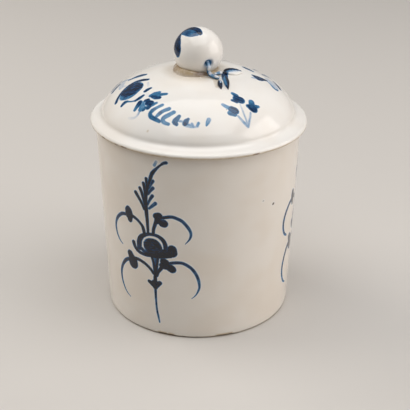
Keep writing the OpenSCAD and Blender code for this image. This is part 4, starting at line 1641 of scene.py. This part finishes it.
class POT_OT_body(Operator):
    """Builds the thrown pot with its glaze, foot ring and chips"""

    bl_idname = "pot.body"
    bl_label = "Pot"

    def execute(self, context):
        pot = make_pot(measures(), finish_of(PORCELAIN))
        on_body(pot, "pot", "glazed_porcelain", "pot_body")
        return {"FINISHED"}


class POT_OT_lid(Operator):
    """Builds the domed lid with its brim and flange"""

    bl_idname = "pot.lid"
    bl_label = "Lid"

    def execute(self, context):
        lid = make_lid(measures(), finish_of(PORCELAIN))
        on_body(lid, "lid", "glazed_porcelain", "lid")
        return {"FINISHED"}


class POT_OT_knob(Operator):
    """Builds the fruit knob and the bead of slip round its foot"""

    bl_idname = "pot.knob"
    bl_label = "Knob and bead"

    def execute(self, context):
        m = measures()
        on_body(make_knob(m, finish_of(PORCELAIN)), "lid", "glazed_porcelain", "knob")
        on_body(make_bead(m, finish_of(SLIP)), "lid", "stained_slip", "slip_bead")
        return {"FINISHED"}


class POT_OT_twig(Operator):
    """Builds the stalk, the side twig and the three leaves"""

    bl_idname = "pot.twig"
    bl_label = "Twig and leaves"

    def execute(self, context):
        m = measures()
        moulded = finish_of(MOULDED, 0.2)
        upper, lower = (UPPER_HEADING, UPPER_BEND), (LOWER_HEADING, LOWER_BEND)
        shapes = (
            (make_twig, "stalk", stalk_way(m), m.stalk_r, 0.62),
            (make_twig, "side_twig", side_way(m), m.side_r, 0.7),
            (make_leaf, "upper_leaf", upper_foot(m), m.upper_leaf_l, m.upper_leaf_w, *upper, upper_ink),
            (make_leaf, "long_leaf", long_foot(m), m.long_leaf_l, m.long_leaf_w, *lower, long_ink),
            (make_leaf, "short_leaf", short_foot(m), m.short_leaf_l, m.short_leaf_w, *lower, short_ink),
        )
        for make, node, *shape in shapes:
            on_body(make(m, node, *shape, moulded), "lid", "cobalt_glaze", node)
        return {"FINISHED"}


class POT_OT_painting(Operator):
    """Brushes the sprigs on the wall, the sprays on the lid and the patches on the knob"""

    bl_idname = "pot.painting"
    bl_label = "Painting"

    def execute(self, context):
        m = measures()
        brushed = (finish_of(BRUSHED, 0.28), "cobalt_glaze")
        stained = (finish_of(PORCELAIN), "glazed_porcelain")
        for painting in PAINTINGS:
            material, slot = brushed if painting.fact == "cobalt" else stained
            on_body(make_painting(m, painting, material), painting.canvas.body, slot)
        return {"FINISHED"}


# The studio

CAMERA_BACK, CAMERA_UP = 0.30436, 0.17883
CAMERA_PITCH = 25.81  # degrees below level
CAMERA_LENS = 92.85
CAMERA_SHIFT = 0.0167
FLOOR_R, FLOOR_SIDES = 3.0, 64
FADE_START, FADE_END = 0.4, 1.1  # metres from the pot over which the floor fades out
AIM = (0, 0, 0.045)
WORLD_LIGHT = 0.02
BACKDROP = "#f3f1ee"
BACKDROP_LIGHT = 0.8
MIRRORED_LIGHT = 0.32


class Lamp(NamedTuple):
    """A square soft box: its bearing and elevation from the pot, its distance and side, the
    share that it gives of the light at which a colour renders as it is written, its tint,
    and whether the glaze mirrors it.
    """

    name: str
    bearing: float
    elevation: float
    distance: float
    side: float
    share: float
    tint: str
    mirrored: bool = True


LAMPS = (
    Lamp("top_box", 6, 80, 0.9, 1.1, 1.05, "#fffefd"),
    Lamp("right_box", 82, 16, 0.75, 0.65, 0.64, "#fff6ef"),
    Lamp("left_box", -110, 28, 0.75, 0.6, 0.52, "#fff6ec", False),
)


def look_at(place, target):
    """The turn that points an object's -Z from its place to a target."""
    return (Vector(target) - Vector(place)).to_track_quat("-Z", "Y").to_euler()


def make_lamp(lamp):
    """A soft box. Its power gives its share of a plain white level at its distance."""
    light = bpy.data.lights.new(lamp.name, "AREA")
    light.shape = "SQUARE"
    light.size = lamp.side
    light.energy = lamp.share * (math.pi * lamp.distance) ** 2
    light.color = linear(lamp.tint)
    rise = math.radians(lamp.elevation)
    away, height = lamp.distance * math.cos(rise), lamp.distance * math.sin(rise)
    holder = placed(lamp.name, light)
    holder.location = at(math.radians(lamp.bearing), away, AIM[2] + height)
    holder.rotation_euler = look_at(holder.location, AIM)
    holder.visible_glossy = lamp.mirrored


class POT_OT_stage(Operator):
    """Sets up the camera, the soft lamps, the world and the pale floor"""

    bl_idname = "pot.stage"
    bl_label = "Stage"

    def execute(self, context):
        scene = context.scene
        camera = bpy.data.cameras.new("camera")
        camera.lens = CAMERA_LENS
        camera.shift_x = CAMERA_SHIFT
        camera.clip_start = 0.01
        view = placed("camera", camera)
        view.location = (0, -CAMERA_BACK, CAMERA_UP)
        view.rotation_euler = (math.radians(90 - CAMERA_PITCH), 0, 0)
        scene.camera = view
        for lamp in LAMPS:
            make_lamp(lamp)
        make_floor()
        make_world(scene)
        scene.view_settings.view_transform = "Standard"
        return {"FINISHED"}


def make_floor():
    """A round pale floor, its rim at even bearings, wide enough for every view."""
    mesh = bpy.data.meshes.new("floor")
    rim = at(around(FLOOR_SIDES), FLOOR_R, 0).tolist()
    mesh.from_pydata(rim, [], [list(range(FLOOR_SIDES))])
    mesh.materials.append(paper_material(bpy.context.scene.pot_finish.floor))
    floor = placed("floor", mesh)


def paper_material(tint):
    """Matt studio paper: pale and without gloss. Far from the pot the camera sees it as pale
    as the backdrop, so no dark edge shows behind the pot.
    """
    material = bpy.data.materials.new("matt_studio_paper")
    tree = fresh_tree(material)
    sockets = {"Base Color": rgba(tint), "Roughness": 0.9, "Specular IOR Level": 0.2}
    paper = add(tree, "ShaderNodeBsdfPrincipled", sockets)
    place = add(tree, "ShaderNodeTexCoord").outputs["Object"]
    away = add(tree, "ShaderNodeVectorMath", {0: place}, operation="LENGTH").outputs["Value"]
    seen = add(tree, "ShaderNodeLightPath").outputs["Is Camera Ray"]
    share = times(tree, s_curve(tree, away, FADE_START, FADE_END), seen)
    pale = {"Color": rgba(linear(BACKDROP)), "Strength": BACKDROP_LIGHT}
    glow = add(tree, "ShaderNodeEmission", pale)
    mix = add(tree, "ShaderNodeMixShader", {0: share, 1: paper.outputs[0], 2: glow.outputs[0]})
    add(tree, "ShaderNodeOutputMaterial", {"Surface": mix.outputs[0]})
    return material


def make_world(scene):
    """A plain world: dim for the light that it gives, paler in the glaze and where it is seen."""
    world = bpy.data.worlds.new("studio")
    tree = fresh_tree(world)
    path = add(tree, "ShaderNodeLightPath").outputs
    mirror = math_of(tree, "MAXIMUM", path["Is Glossy Ray"], path["Is Transmission Ray"])
    dim = s_curve(tree, mirror, 0, 1, WORLD_LIGHT, MIRRORED_LIGHT)
    strength = s_curve(tree, path["Is Camera Ray"], 0, 1, dim, BACKDROP_LIGHT)
    sockets = {"Color": rgba(linear(BACKDROP)), "Strength": strength}
    back = add(tree, "ShaderNodeBackground", sockets)
    add(tree, "ShaderNodeOutputWorld", {"Surface": back.outputs[0]})
    scene.world = world


STEPS = (
    POT_OT_stage,
    POT_OT_body,
    POT_OT_lid,
    POT_OT_knob,
    POT_OT_twig,
    POT_OT_painting,
)


class POT_PT_steps(Panel):
    """Lists the steps that build the pot"""

    bl_label = "Ointment pot"
    bl_space_type = "VIEW_3D"
    bl_region_type = "UI"
    bl_category = "Pot"

    def draw(self, context):
        for step in STEPS:
            self.layout.operator(step.bl_idname)


CLASSES = (*GROUPS.values(), Finish, *STEPS, POT_PT_steps)


def register():
    for cls in CLASSES:
        bpy.utils.register_class(cls)
    for group, cls in GROUPS.items():
        setattr(bpy.types.Scene, f"pot_{group}", PointerProperty(type=cls))
    bpy.types.Scene.pot_finish = PointerProperty(type=Finish)


def unregister():
    del bpy.types.Scene.pot_finish
    for group in GROUPS:
        delattr(bpy.types.Scene, f"pot_{group}")
    for cls in reversed(CLASSES):
        bpy.utils.unregister_class(cls)


def main():
    register()
    for step in STEPS:
        section, name = step.bl_idname.split(".")
        getattr(getattr(bpy.ops, section), name)()


if __name__ == "__main__":
    main()
